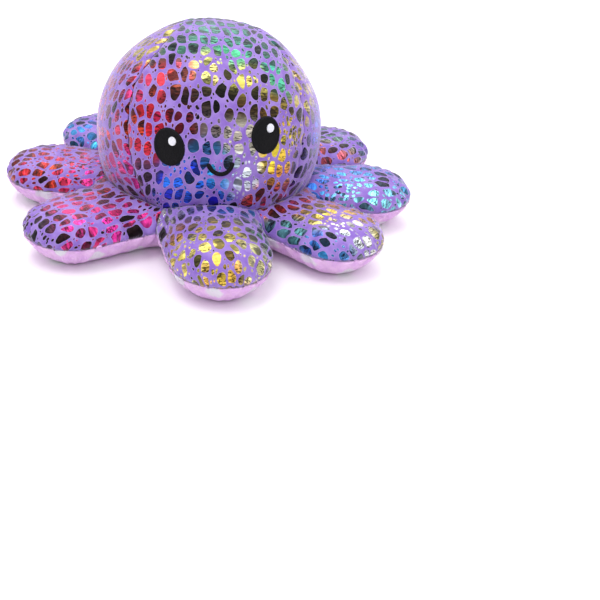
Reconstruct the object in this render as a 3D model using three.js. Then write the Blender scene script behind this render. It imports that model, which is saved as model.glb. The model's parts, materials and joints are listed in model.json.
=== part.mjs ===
// A reversible plush octopus: a round head with a pocket under it, and eight stuffed arms.
// The outside is foil-printed fabric with a smiling face. The pocket and the arms' undersides are
// a spotted plush with a cross face, which shows when the toy is turned inside out.
// Millimetres, +Z up. The origin is on the table under the middle of the head; the face looks along -Y.
// Turns and azimuths are in degrees from -Y, and grow towards +X.
import * as THREE from "three";

// Fabric, and the gap that separate pieces keep between them
const FABRIC = 1.2;
const GAP = 0.3;

// Head: a round shell of four panels, whose seams meet in a crown that leans back
const HEAD_RADIUS = 54;
const HEAD_CENTRE_HEIGHT = 42.3;
const CROWN_HOLE = 1.2;
const CROWN_TILT = 25;
const HEAD_TURN = 10;
const PANEL_SIDES = ["front", "right", "back", "left"];

// Pocket inside the head
const SIDE_WALL = 14;
const CROWN_WALL = 26;
const POCKET_WIDEST_HEIGHT = 26;
const MOUTH_DRAW_IN = 9;
const MOUTH_EDGE_HEIGHT = 3.5;

// Ring between the head and the arms, which the toy stands on
const CREASE_RISE = 2.5;
const HINGE_OUTSET = 5.8;
const RING_LIP = 0.4;
const MOUTH_ROUNDING = 2.2;
const FOOT_WIDTH = 5;
const UNDERSIDE_CURVE = 1.3;

// Arms, and the azimuth at which each lies
const FRONT_AZIMUTH = 5;
const FRONT_RIGHT_AZIMUTH = 48.5;
const RIGHT_AZIMUTH = 87;
const BACK_RIGHT_AZIMUTH = 126;
const BACK_AZIMUTH = 176;
const BACK_LEFT_AZIMUTH = 226;
const LEFT_AZIMUTH = 264;
const FRONT_LEFT_AZIMUTH = 310;
const ARM_LENGTH = 48.5;
const ARM_SIDE_ROOM = 3;
const ARM_ROOT_ROOM = 1.2;
const SEAM_HEIGHT = 13;
const ARM_RISE = 10.5;
const FRONT_ARM_RISE = 14.5;
const ARM_SINK = 1.5;
const PILLOW_FULLNESS = 3;

// Embroidery of both faces
const EMBROIDERY = 0.8;
const THREAD_LINE = 2;
const GLINT_WIDTH = 3.4;
const GLINT_HEIGHT = 3.8;
const BOW_TURN = 75;

// The smiling face, on the outside of the head
const FACE_AZIMUTH = 4.8;
const FACE_TILT = 6.8;
const FACE_HEIGHT = 56.7;
const EYE_WIDTH = 14.4;
const EYE_HEIGHT = 16.6;
const EYE_SPACING = 44;
const GLINT_SIDE = 2;
const GLINT_UP = 2.6;
const SMILE_WIDTH = 10.4;
const SMILE_DEPTH = 4.8;
const SMILE_DROP = 8.4;

// The cross face, on the pocket's front wall, with its top towards the crown
const CROSS_FACE_RISE = 14;
const CROSS_EYE_WIDTH = 17;
const CROSS_EYE_HEIGHT = 17.8;
const CROSS_EYE_SPACING = 41;
const CROSS_GLINT_SIDE = 4.2;
const CROSS_GLINT_UP = 3.5;
const BROW_LENGTH = 19.4;
const BROW_SHIFT = 1;
const BROW_LIFT = 4.1;
const BROW_RISE = 6.2;
const FROWN_WIDTH = 10.7;
const FROWN_DEPTH = 4.8;
const FROWN_DROP = 14.4;

// Mesh counts, which set how fine the curved faces are
const HEAD_STEPS = 10;
const PANEL_STEPS = 7;
const POCKET_STEPS = 5;
const CUT_STEPS = 3;
const TURNED_STEPS = 32;
const TIP_STEPS = 9;
const PATCH_POINTS = 16;
const GLINT_POINTS = 10;
const LINE_STEPS = 8;

// How near the arm pillow's rings lie to its seam, as shares of the sloping stretch
const slopeShares = [1, 0.83, 0.5, 0];
const patchRingShares = [1, 0.5];

const radians = THREE.MathUtils.degToRad;
const degrees = THREE.MathUtils.radToDeg;
const mix = THREE.MathUtils.lerp;
const vector = (x, y, z) => new THREE.Vector3(x, y, z);
const quarterTurn = degrees(Math.PI / 2);
const fullTurn = degrees(Math.PI * 2);

// Evenly spread shares of a range, both ends included
const spread = (count) => Array.from({ length: count + 1 }, (_, i) => i / count);

// How far a flat facet dips inside the round surface that its corners touch
const facetDip = (radius, ...stepDegrees) =>
  radius * (1 - stepDegrees.reduce((kept, step) => kept * Math.cos(radians(step / 2)), 1));

// Sizes that follow from the ones above
const creaseHeight = SEAM_HEIGHT + CREASE_RISE;
const creaseRadius = Math.sqrt(HEAD_RADIUS ** 2 - (creaseHeight - HEAD_CENTRE_HEIGHT) ** 2);
const pocketRadius = HEAD_RADIUS - SIDE_WALL;
const pocketRise = HEAD_CENTRE_HEIGHT + HEAD_RADIUS - CROWN_WALL - POCKET_WIDEST_HEIGHT;
const mouthRadius = pocketRadius - MOUTH_DRAW_IN;
const hingeRadius = creaseRadius + HINGE_OUTSET;
const armReach = hingeRadius + ARM_LENGTH;
const azimuthOfArm = {
  front: FRONT_AZIMUTH,
  front_right: FRONT_RIGHT_AZIMUTH,
  right: RIGHT_AZIMUTH,
  back_right: BACK_RIGHT_AZIMUTH,
  back: BACK_AZIMUTH,
  back_left: BACK_LEFT_AZIMUTH,
  left: LEFT_AZIMUTH,
  front_left: FRONT_LEFT_AZIMUTH,
};
const armAzimuths = Object.values(azimuthOfArm);
const tightestPitch = Math.min(...armAzimuths.slice(1).map((azimuth, i) => azimuth - armAzimuths[i]));
const halfPitch = radians(tightestPitch / 2);
const armHalfWidth = (armReach * Math.sin(halfPitch) - ARM_SIDE_ROOM) / (1 + Math.sin(halfPitch));
const armRootHalfWidth = hingeRadius * Math.tan(halfPitch) - ARM_ROOT_ROOM;
const panelTurn = fullTurn / PANEL_SIDES.length;
const stitchFoot = GAP;
const overstitchFoot = GAP + EMBROIDERY + GAP;

// Materials, with the colours, roughness and metalness seen on the toy
const material = (color, roughness, metalness = 0) =>
  new THREE.MeshStandardMaterial({ color, roughness, metalness });
const foilFabric = material(0x9a74dc, 0.45, 0.35);
const spottedPlush = material(0xd68fe0, 0.9);
const fiberfill = material(0xf4f2ec, 0.95);
const blackThread = material(0x17161a, 0.7);
const whiteThread = material(0xf2f2f6, 0.6);

// A closed mesh from corner points and faces, each face a list of corners seen from outside
function meshOf(name, points, faces, finish) {
  const triangles = faces.flatMap((face) =>
    face.slice(2).flatMap((_, i) => [face[0], face[i + 1], face[i + 2]]),
  );
  const places = points.flatMap((p) => [p.x, p.y, p.z]);
  const geometry = new THREE.BufferGeometry();
  geometry.setAttribute("position", new THREE.Float32BufferAttribute(places, 3));
  geometry.setIndex(triangles);
  geometry.computeVertexNormals();
  const mesh = new THREE.Mesh(geometry, finish);
  mesh.name = name;
  return mesh;
}

// A sheet with a thickness, between two matching grids of points, front[row][column] and back.
// Seen from the front, rows run down and columns run to the right.
function sheetOf(name, front, back, finish) {
  const lastRow = front.length - 1;
  const lastColumn = front[0].length - 1;
  const points = [...front.flat(), ...back.flat()];
  const at = (r, c) => r * front[0].length + c;
  const under = (r, c) => front.flat().length + at(r, c);
  const faces = [];
  for (let r = 0; r < lastRow; r += 1) {
    for (let c = 0; c < lastColumn; c += 1) {
      faces.push([at(r, c), at(r + 1, c), at(r + 1, c + 1), at(r, c + 1)]);
      faces.push([under(r, c), under(r, c + 1), under(r + 1, c + 1), under(r + 1, c)]);
    }
    faces.push([at(r, 0), under(r, 0), under(r + 1, 0), at(r + 1, 0)]);
    faces.push([at(r, lastColumn), at(r + 1, lastColumn), under(r + 1, lastColumn), under(r, lastColumn)]);
  }
  for (let c = 0; c < lastColumn; c += 1) {
    faces.push([at(0, c), at(0, c + 1), under(0, c + 1), under(0, c)]);
    faces.push([at(lastRow, c), under(lastRow, c), under(lastRow, c + 1), at(lastRow, c + 1)]);
  }
  return meshOf(name, points, faces, finish);
}

// A closed body between two domes. Each dome is { rings, middle }, its rings listed from the rim
// inwards, all with as many points, anticlockwise as seen from the front. The domes may share a rim.
function domesOf(name, front, back, finish) {
  const count = front.rings[0].length;
  const sharedRim = front.rings[0] === back.rings[0];
  const backRings = sharedRim ? back.rings.slice(1) : back.rings;
  const points = [...front.rings.flat(), front.middle, ...backRings.flat(), back.middle];
  const frontMiddle = front.rings.length * count;
  const backStart = frontMiddle + 1;
  const backMiddle = backStart + backRings.length * count;
  const at = (ring, i) => ring * count + (i % count);
  const behind = (ring, i) => {
    if (sharedRim) return ring === 0 ? at(0, i) : backStart + at(ring - 1, i);
    return backStart + at(ring, i);
  };
  const lastFront = front.rings.length - 1;
  const lastBack = back.rings.length - 1;
  const faces = [];
  for (let i = 0; i < count; i += 1) {
    for (let ring = 0; ring < lastFront; ring += 1) {
      faces.push([at(ring, i), at(ring, i + 1), at(ring + 1, i + 1), at(ring + 1, i)]);
    }
    for (let ring = 0; ring < lastBack; ring += 1) {
      faces.push([behind(ring, i), behind(ring + 1, i), behind(ring + 1, i + 1), behind(ring, i + 1)]);
    }
    faces.push([at(lastFront, i), at(lastFront, i + 1), frontMiddle]);
    faces.push([behind(lastBack, i + 1), behind(lastBack, i), backMiddle]);
    if (!sharedRim) faces.push([at(0, i + 1), at(0, i), behind(0, i), behind(0, i + 1)]);
  }
  return meshOf(name, points, faces, finish);
}

// A piece turned round the Z axis, from [radius, height] pairs that run upwards on its outside
function turnedOf(name, profile, finish) {
  const points = profile.map(([radius, height]) => new THREE.Vector2(radius, height));
  const geometry = new THREE.LatheGeometry(points, TURNED_STEPS);
  geometry.rotateX(Math.PI / 2);
  const mesh = new THREE.Mesh(geometry, finish);
  mesh.name = name;
  return mesh;
}

// The point at a turn, a distance out from the Z axis and a height
const around = (turn, radius, height) =>
  vector(radius * Math.sin(radians(turn)), -radius * Math.cos(radians(turn)), height);

// Head

// The direction from the head's centre at a polar angle from its crown and a turn round it
function headDirection(polar, turn) {
  const crown = vector(0, Math.sin(radians(CROWN_TILT)), Math.cos(radians(CROWN_TILT)));
  const outward = around(turn, 1, 0).applyAxisAngle(vector(1, 0, 0), -radians(CROWN_TILT));
  return crown.multiplyScalar(Math.cos(polar)).add(outward.multiplyScalar(Math.sin(polar)));
}

// The polar angle at which a shell of this radius comes down to a height
function polarAtHeight(radius, height, turn) {
  const crownPart = headDirection(0, turn).z;
  const outwardPart = headDirection(Math.PI / 2, turn).z;
  const level = (height - HEAD_CENTRE_HEIGHT) / radius / Math.hypot(crownPart, outwardPart);
  return Math.atan2(outwardPart, crownPart) + Math.acos(level);
}

const headBottomPolar = (radius, turn) => polarAtHeight(radius, creaseHeight + GAP, turn);
const headStep = degrees(headBottomPolar(HEAD_RADIUS, 0)) / HEAD_STEPS;
const headDip = facetDip(HEAD_RADIUS, headStep, panelTurn / PANEL_STEPS);

// One panel of the outside fabric, from the crown down to the crease
function headPanel(side, index) {
  const middleTurn = HEAD_TURN + index * panelTurn;
  const crownPolar = Math.asin(CROWN_HOLE / HEAD_RADIUS);
  const grid = (radius) =>
    spread(HEAD_STEPS).map((down) =>
      spread(PANEL_STEPS).map((across) => {
        const turn = middleTurn + mix(-panelTurn / 2, panelTurn / 2, across);
        const polar = mix(crownPolar, headBottomPolar(radius, turn), down);
        const seam = degrees(Math.asin(GAP / 2 / (HEAD_RADIUS * Math.sin(polar))));
        const half = panelTurn / 2 - seam;
        const point = headDirection(polar, middleTurn + mix(-half, half, across));
        return point.multiplyScalar(radius).add(vector(0, 0, HEAD_CENTRE_HEIGHT));
      }),
    );
  return sheetOf(`head_cover_${side}`, grid(HEAD_RADIUS), grid(HEAD_RADIUS - FABRIC), foilFabric);
}

// Pocket

// The pocket's wall moved outwards by outset, at an angle of lift from its widest height
const pocketPair = (outset, lift) => [
  (pocketRadius + outset) * Math.cos(lift),
  POCKET_WIDEST_HEIGHT + (pocketRise + outset) * Math.sin(lift),
];

// Below its widest height the pocket draws in to its mouth
function pocketRadiusBelow(outset, height) {
  const down = (POCKET_WIDEST_HEIGHT - height) / (POCKET_WIDEST_HEIGHT - MOUTH_EDGE_HEIGHT);
  return pocketRadius + outset - MOUTH_DRAW_IN * down ** 2;
}

// [radius, height] pairs up the pocket's wall, from a height near its mouth to near its top
function pocketProfile(outset, fromHeight) {
  const low = spread(CUT_STEPS)
    .slice(0, -1)
    .map((share) => mix(fromHeight, POCKET_WIDEST_HEIGHT, share))
    .map((height) => [pocketRadiusBelow(outset, height), height]);
  const topLift = Math.acos(CROWN_HOLE / pocketRadius);
  return [...low, ...spread(POCKET_STEPS).map((share) => pocketPair(outset, topLift * share))];
}

const pocketDip = facetDip(pocketRise + FABRIC, quarterTurn / POCKET_STEPS, panelTurn / PANEL_STEPS);

// One panel of the pocket's lining. Its front is the side that faces the pocket's middle.
function pocketPanel(side, index) {
  const middleTurn = HEAD_TURN + index * panelTurn;
  const grid = (outset) =>
    pocketProfile(outset, MOUTH_EDGE_HEIGHT + GAP).map(([radius, height]) => {
      const half = panelTurn / 2 - degrees(Math.asin(GAP / 2 / radius));
      const turns = spread(PANEL_STEPS).map((across) => middleTurn + mix(-half, half, across));
      return turns.map((turn) => around(turn, radius, height));
    });
  return sheetOf(`pocket_lining_${side}`, grid(0), grid(FABRIC), spottedPlush);
}

// Filling between the head's outside and its pocket
function headStuffing() {
  const bottom = creaseHeight + GAP;
  const radius = HEAD_RADIUS - FABRIC - headDip - GAP;
  const outset = FABRIC + GAP + pocketDip;
  const bottomLift = Math.asin((bottom - HEAD_CENTRE_HEIGHT) / radius);
  const outside = spread(HEAD_STEPS)
    .slice(0, -1)
    .map((share) => mix(bottomLift, Math.PI / 2, share))
    .map((lift) => [radius * Math.cos(lift), HEAD_CENTRE_HEIGHT + radius * Math.sin(lift)]);
  const profile = [
    [0, POCKET_WIDEST_HEIGHT + pocketRise + outset],
    ...pocketProfile(outset, bottom).reverse(),
    ...outside,
    [0, HEAD_CENTRE_HEIGHT + radius],
  ];
  return turnedOf("head_stuffing", profile, fiberfill);
}

// Ring

// Where the ring's pieces stop short of the lining
const ringInnerRadius = (height) => pocketRadiusBelow(FABRIC + GAP + pocketDip, height);

// Its upper fabric lies level under the head and slopes down to the arms' hinges
function ringTopCover() {
  const inner = ringInnerRadius(creaseHeight);
  const lip = hingeRadius - GAP;
  const lipHeight = SEAM_HEIGHT + GAP / 2;
  const profile = [
    [inner, creaseHeight - FABRIC],
    [creaseRadius, creaseHeight - FABRIC],
    [lip, lipHeight],
    [lip, lipHeight + RING_LIP],
    [creaseRadius, creaseHeight],
    [inner, creaseHeight],
  ];
  return turnedOf("ring_top_cover", [...profile, profile[0]], foilFabric);
}

// The ring's underside, from the pocket's mouth over the flat foot and up to the lip
function ringUnderside() {
  const footStart = mouthRadius + MOUTH_ROUNDING;
  const footEnd = footStart + FOOT_WIDTH;
  const lip = hingeRadius - GAP;
  const lipHeight = SEAM_HEIGHT - GAP / 2;
  const slope = spread(CUT_STEPS)
    .slice(1)
    .map((share) => [mix(footEnd, lip, share), lipHeight * share ** UNDERSIDE_CURVE]);
  return [[mouthRadius, MOUTH_EDGE_HEIGHT], [footStart, 0], [footEnd, 0], ...slope];
}

// The same profile moved into the ring by a distance, with its two ends still at their heights
function movedIn(profile, distance) {
  const points = profile.map(([radius, height]) => new THREE.Vector2(radius, height));
  const runs = points.slice(1).map((point, i) => point.clone().sub(points[i]).normalize());
  const inward = (run) => new THREE.Vector2(-run.y, run.x);
  return points.map((point, i) => {
    const before = runs[Math.max(i - 1, 0)];
    const after = runs[Math.min(i, runs.length - 1)];
    const corner = inward(before).add(inward(after)).normalize();
    const moved = point.clone().addScaledVector(corner, distance / corner.dot(inward(after)));
    const isEnd = i === 0 || i === runs.length;
    if (isEnd) moved.addScaledVector(after, (point.y - moved.y) / after.y);
    return [moved.x, moved.y];
  });
}

function ringBottomCover() {
  const outside = ringUnderside();
  const profile = [...outside, ...movedIn(outside, FABRIC).reverse(), outside[0]];
  return turnedOf("ring_bottom_cover", profile, spottedPlush);
}

function ringStuffing() {
  const under = creaseHeight - FABRIC - GAP;
  const [, ...underside] = movedIn(ringUnderside(), FABRIC + GAP);
  const wall = spread(CUT_STEPS)
    .map((share) => mix(under, MOUTH_EDGE_HEIGHT, share))
    .map((height) => [ringInnerRadius(height), height]);
  return turnedOf(
    "ring_stuffing",
    [...underside, [creaseRadius, under], ...wall, underside[0]],
    fiberfill,
  );
}

// Arms: each is two petals of fabric, sewn along a level seam round a filling

// The seam drawn in by inset: a straight root, two sides, and a round tip that they run into.
// It is a list of [out, side] pairs, anticlockwise from above, for an arm that lies along +X.
function petalOutline(inset) {
  const root = hingeRadius + GAP + inset;
  const rootHalf = armRootHalfWidth - inset;
  const tipMiddle = armReach - armHalfWidth;
  const tipRadius = armHalfWidth - inset;
  const toCorner = Math.hypot(tipMiddle - root, rootHalf);
  const cornerAngle = Math.PI - Math.atan2(rootHalf, tipMiddle - root);
  const touchAngle = cornerAngle - Math.acos(tipRadius / toCorner);
  const tipPoint = (angle) => [tipMiddle + tipRadius * Math.cos(angle), tipRadius * Math.sin(angle)];
  const line = (from, to) =>
    spread(CUT_STEPS)
      .slice(0, -1)
      .map((share) => [mix(from[0], to[0], share), mix(from[1], to[1], share)]);
  const leftRoot = [root, rootHalf];
  const rightRoot = [root, -rootHalf];
  return [
    ...line(leftRoot, rightRoot),
    ...line(rightRoot, tipPoint(-touchAngle)),
    ...spread(TIP_STEPS).slice(0, -1).map((share) => tipPoint(mix(-touchAngle, touchAngle, share))),
    ...line(tipPoint(touchAngle), leftRoot),
  ];
}

// How full the pillow is, from 1 at its middle (share 0) to 0 at its seam (share 1)
const pillow = (share) => Math.sqrt(1 - share ** PILLOW_FULLNESS);

// The share at which the underside comes down to the table. The pillow's rings lie from there outwards.
const touchShare = (1 - (SEAM_HEIGHT / (SEAM_HEIGHT + ARM_SINK)) ** 2) ** (1 / PILLOW_FULLNESS);
const ringShares = slopeShares.map((share) => mix(touchShare, 1, share));

// One side of the pillow, which rises from the seam by a height, or hangs from it if that is negative
function pillowDome(inset, seam, height, floor) {
  const middle = armReach - armHalfWidth;
  const level = (share) => Math.max(seam + height * pillow(share), floor);
  const outline = petalOutline(inset);
  const rings = ringShares.map((share) =>
    outline.map(([out, side]) => vector(mix(middle, out, share), side * share, level(share))),
  );
  return { rings, middle: vector(middle, 0, level(0)) };
}

// An arm at an azimuth. The front one is stuffed fuller than the others.
function arm([name, azimuth]) {
  const inset = FABRIC + GAP;
  const rise = name === "front" ? FRONT_ARM_RISE : ARM_RISE;
  const drop = -(SEAM_HEIGHT + ARM_SINK);
  const upperSeam = SEAM_HEIGHT + GAP / 2;
  const lowerSeam = SEAM_HEIGHT - GAP / 2;
  const fillTop = pillowDome(inset, SEAM_HEIGHT, rise - inset, 0);
  const fillBottom = pillowDome(inset, SEAM_HEIGHT, drop + inset, inset);
  fillBottom.rings[0] = fillTop.rings[0];
  const group = new THREE.Group();
  group.add(
    domesOf(
      `arm_${name}_top_cover`,
      pillowDome(0, upperSeam, rise, 0),
      pillowDome(FABRIC, upperSeam, rise - FABRIC, 0),
      foilFabric,
    ),
    domesOf(
      `arm_${name}_bottom_cover`,
      pillowDome(FABRIC, lowerSeam, drop + FABRIC, FABRIC),
      pillowDome(0, lowerSeam, drop, 0),
      spottedPlush,
    ),
    domesOf(`arm_${name}_stuffing`, fillTop, fillBottom, fiberfill),
  );
  group.rotation.z = radians(azimuth - quarterTurn);
  return group;
}

// Embroidery: stitched patches and lines that follow the fabric under them.
// Each face has its own flat frame, whose distances to the side and up a function lays on the fabric.

// The smiling face's frame is turned and tilted on the head, so its eyes aren't level
function onHead(side, up, standOff) {
  const tilt = radians(FACE_TILT);
  const across = side * Math.cos(tilt) - up * Math.sin(tilt);
  const along = side * Math.sin(tilt) + up * Math.cos(tilt);
  const lift = Math.asin((FACE_HEIGHT - HEAD_CENTRE_HEIGHT) / HEAD_RADIUS) + along / HEAD_RADIUS;
  const turn = FACE_AZIMUTH + degrees(across / (HEAD_RADIUS * Math.cos(lift)));
  const radius = HEAD_RADIUS + standOff;
  return around(turn, radius * Math.cos(lift), HEAD_CENTRE_HEIGHT + radius * Math.sin(lift));
}

// The cross face is seen from inside the pocket, so its left is the other way round the toy
function onPocket(side, up, standOff) {
  const lift = Math.asin(CROSS_FACE_RISE / pocketRise) + up / pocketRise;
  const turn = HEAD_TURN - degrees(side / (pocketRadius * Math.cos(lift)));
  return around(turn, ...pocketPair(-pocketDip - standOff, lift));
}

// A filled oval. Its size and middle are [side, up] pairs, and foot is how far its back stands off.
function patch(name, place, size, middle, foot, finish, count) {
  const dome = (standOff) => ({
    rings: patchRingShares.map((share) =>
      Array.from({ length: count }, (_, i) => {
        const angle = radians((i * fullTurn) / count);
        const side = middle[0] + (share * size[0] * Math.cos(angle)) / 2;
        const up = middle[1] + (share * size[1] * Math.sin(angle)) / 2;
        return place(side, up, standOff);
      }),
    ),
    middle: place(...middle, standOff),
  });
  return domesOf(name, dome(foot + EMBROIDERY), dome(foot), finish);
}

// A raised line of thread along [side, up] pairs that run to the right
function threadLine(name, place, line, foot, finish) {
  const edge = (sign, standOff) =>
    line.map(([side, up], i) => {
      const before = line[Math.max(i - 1, 0)];
      const after = line[Math.min(i + 1, line.length - 1)];
      const run = new THREE.Vector2(after[0] - before[0], after[1] - before[1]).normalize();
      const half = (sign * THREAD_LINE) / 2;
      return place(side - run.y * half, up + run.x * half, standOff);
    });
  const grid = (standOff) => [edge(1, standOff), edge(-1, standOff)];
  return sheetOf(name, grid(foot + EMBROIDERY), grid(foot), finish);
}

// A bow whose two ends lie at a drop below the eyes, and whose middle hangs lower by depth
function bow(width, depth, drop) {
  const endSine = Math.sin(radians(BOW_TURN));
  const endCosine = Math.cos(radians(BOW_TURN));
  return spread(LINE_STEPS).map((share) => {
    const angle = radians(mix(-BOW_TURN, BOW_TURN, share));
    const hang = (Math.cos(angle) - endCosine) / (1 - endCosine);
    return [(width * Math.sin(angle)) / endSine / 2, -drop - depth * hang];
  });
}

// An eye, and the glint stitched over it
function eye(name, place, size, middle, glintMiddle) {
  return [
    patch(name, place, size, middle, stitchFoot, blackThread, PATCH_POINTS),
    patch(
      `${name}_glint`,
      place,
      [GLINT_WIDTH, GLINT_HEIGHT],
      glintMiddle,
      overstitchFoot,
      whiteThread,
      GLINT_POINTS,
    ),
  ];
}

// Left and right as a viewer sees them, and which way each lies
const faceSides = { left: -1, right: 1 };

function smilingFace() {
  const eyes = Object.entries(faceSides).flatMap(([side, sign]) => {
    const middle = (sign * EYE_SPACING) / 2;
    const glintMiddle = [middle + GLINT_SIDE, GLINT_UP];
    return eye(`eye_${side}`, onHead, [EYE_WIDTH, EYE_HEIGHT], [middle, 0], glintMiddle);
  });
  const smile = bow(SMILE_WIDTH, SMILE_DEPTH, SMILE_DROP);
  return [...eyes, threadLine("smile", onHead, smile, stitchFoot, blackThread)];
}

// A brow over the eye on one side, low at its inner end and level at its outer end
function brow(sign) {
  const points = spread(LINE_STEPS).map((share) => {
    const outwards = CROSS_EYE_SPACING / 2 - BROW_SHIFT + BROW_LENGTH * (share - 1 / 2);
    return [sign * outwards, BROW_LIFT + BROW_RISE * Math.sin((share * Math.PI) / 2)];
  });
  return sign > 0 ? points : points.reverse();
}

function crossFace() {
  const size = [CROSS_EYE_WIDTH, CROSS_EYE_HEIGHT];
  const eyes = Object.entries(faceSides).flatMap(([side, sign]) => {
    const middle = (sign * CROSS_EYE_SPACING) / 2;
    const glintMiddle = [middle - sign * CROSS_GLINT_SIDE, CROSS_GLINT_UP];
    return [
      ...eye(`pocket_eye_${side}`, onPocket, size, [middle, 0], glintMiddle),
      threadLine(`pocket_brow_${side}`, onPocket, brow(sign), overstitchFoot, blackThread),
    ];
  });
  const frown = bow(FROWN_WIDTH, -FROWN_DEPTH, FROWN_DROP);
  return [...eyes, threadLine("pocket_frown", onPocket, frown, stitchFoot, blackThread)];
}

const toy = new THREE.Group();
toy.name = "plush_octopus";
toy.add(...PANEL_SIDES.map(headPanel), ...PANEL_SIDES.map(pocketPanel), headStuffing());
toy.add(ringTopCover(), ringBottomCover(), ringStuffing());
toy.add(...smilingFace(), ...crossFace());
toy.add(...Object.entries(azimuthOfArm).map(arm));

export default toy;
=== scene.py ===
import json
import math

import bpy
import numpy as np
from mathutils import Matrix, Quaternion, Vector, noise
from mathutils.geometry import delaunay_2d_cdt


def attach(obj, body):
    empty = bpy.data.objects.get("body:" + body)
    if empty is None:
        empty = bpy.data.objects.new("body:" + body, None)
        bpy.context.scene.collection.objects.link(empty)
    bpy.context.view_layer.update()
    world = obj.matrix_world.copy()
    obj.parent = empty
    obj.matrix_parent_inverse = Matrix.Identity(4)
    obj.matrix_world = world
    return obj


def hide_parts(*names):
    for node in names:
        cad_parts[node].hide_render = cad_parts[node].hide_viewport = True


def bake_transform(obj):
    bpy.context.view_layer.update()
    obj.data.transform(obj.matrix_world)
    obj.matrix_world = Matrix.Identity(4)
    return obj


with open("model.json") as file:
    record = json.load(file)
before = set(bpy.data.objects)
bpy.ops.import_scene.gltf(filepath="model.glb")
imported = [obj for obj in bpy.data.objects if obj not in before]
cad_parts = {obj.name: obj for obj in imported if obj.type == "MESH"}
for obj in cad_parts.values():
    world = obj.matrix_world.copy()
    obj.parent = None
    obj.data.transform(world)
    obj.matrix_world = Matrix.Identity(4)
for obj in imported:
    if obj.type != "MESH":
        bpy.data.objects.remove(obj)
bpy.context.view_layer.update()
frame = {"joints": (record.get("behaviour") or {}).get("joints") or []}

MM = 0.001

# Head: a ball whose seams meet in a crown that leans back. Angles are in degrees.
HEAD_RADIUS = 54 * MM
HEAD_CENTRE = np.array([0, 0, 42.3]) * MM
CROWN_TILT = 25
HEAD_TURN = 10
HALF_PANEL = 45
PANELS = ["front", "right", "back", "left"]
CREASE_HEIGHT = 15.8 * MM
HEAD_ROWS = 110
PANEL_COLUMNS = 80
COLUMN_CROWDING = 1.25
FIRST_POLAR = 1.0
FABRIC = 1.1 * MM
THIN_FABRIC = 0.6 * MM
SEAM_GAP = 0.04 * MM
SEAM_DEPTH = 0.8 * MM
SEAM_WIDTH = 1.8 * MM
SEAM_CURL = 0.6 * MM
SEAM_CURL_WIDTH = 0.35 * MM
SEAM_BOW = 8
SEAM_BOW_START = 42
SEAM_BOW_END = 74
PUCKER_HEIGHT = 0.35 * MM
PUCKER_LENGTH = 8.5 * MM
PUCKER_REACH = 6 * MM
PUCKER_LAG = 0.6
PUCKER_WANDER = 1.3
GATHER_HEIGHT = 0.9 * MM
GATHER_REACH = 8 * MM
GATHERS = 34
LUMP_HEIGHT = 0.8 * MM
LUMP_SIZE = 26 * MM
CROWN_DIMPLE = 1.2 * MM
CROWN_DIMPLE_REACH = 5 * MM

# Arms
ARM_REACH = 100.4 * MM
TIP_RADIUS = 22.5 * MM
CROTCH_RADIUS = 58.5 * MM
SKIRT_START = 44 * MM
SKIRT_TOP_EDGE = 15.2 * MM
SKIRT_UNDER_EDGE = 1.5 * MM
SEAM_HEIGHT = 13 * MM
ARM_RISE = 10.5 * MM
FRONT_ARM_RISE = 14.5 * MM
FLOOR_INSET = 13.5 * MM
UNDERSIDE_CURVE = 1.6
FLOOR_CLEARANCE = 0.1 * MM
HEAD_CLEARANCE = 0.3 * MM
ARM_PUCKER_HEIGHT = 0.6 * MM
ARM_PUCKER_LENGTH = 9.5 * MM
ARM_PUCKER_START = 1.2 * MM
ARM_PUCKER_WANDER = 0.3
ARM_WANDER_RATE = 1.7

# How the fabric of the arms is cut into triangles
CLOTH_SPACING = 1.7 * MM
SEAM_ROWS = [0.25 * MM, 0.7 * MM, 1.3 * MM, 2.2 * MM, 3.3 * MM]
CORNER_CROWDING = 1.5
ROW_CLEARANCE_SHARE = 0.97
SPOKE_SPACING = 0.8 * CLOTH_SPACING
SPOKE_CLEARANCE = 0.45 * CLOTH_SPACING
LATTICE_CLEARANCE = 0.7 * CLOTH_SPACING
RING_CLEARANCE = 0.6 * CLOTH_SPACING
LATTICE_SHAKE = 0.12 * CLOTH_SPACING
LATTICE_SEED = 7
LATTICE_MARGIN = 2
LATTICE_EXTRA_ROWS = 10
RING_LIMIT_SHARE = 0.999
ON_LINE = 0.01 * CLOTH_SPACING
ON_WALL = 0.02
MERGE_DISTANCE = 1e-9
LEAST_NORMAL = 1e-15

# How it settles on its filling
FABRIC_GROWTH = 1.015
GATHER_GROWTH = 1.14
GATHERED_BAND = 6 * MM
CLOTH_STEPS = 60
CLOTH_ROUNDS = 8
CLOTH_DAMPING = 0.8
CLOTH_PULL = 1.4
BEND_STIFFNESS = 0.3
FILLING_HOLD = 0.012
SEAM_HOLD = 0.1
SEAM_DRAW = 0.6 * MM
FIRST_PUCKER = 0.45 * MM
PUCKER_SEED = 11
PUCKER_ROUNDS = 3
UNROLL_STEPS = 400
WIDEST_REACH = 34 * MM

# Pocket inside the head, and the ring round its mouth as distances from the Z axis and heights
POCKET_RADIUS = 40 * MM
POCKET_RISE = 44.3 * MM
POCKET_WIDEST_HEIGHT = 26 * MM
POCKET_STEPS = 18
POCKET_COLUMNS = 40
POCKET_LUMP = 0.5 * MM
MOUTH_DRAW_IN = 9 * MM
MOUTH_HEIGHT = 3.5 * MM
RING_SEGMENTS = 128
RING_FOOT = np.array([(31, 3.5), (31.6, 1.6), (33.2, 0.3), (35.2, 0), (39, 0), (42, 0.5), (45, 2.1)]) * MM
RING_BAND = np.array([(41.6, 14.1), (45, 14.1), (45, 15.2), (41.6, 15.2)]) * MM
RING_FILLING = np.array([(34.2, 2.5), (40, 2.5), (44, 4), (48, 8), (46, 13.6), (41.6, 13.6)]) * MM
RING_TUCK = 0.2 * MM
RING_COLOUR = (90, 60, 170)

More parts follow.
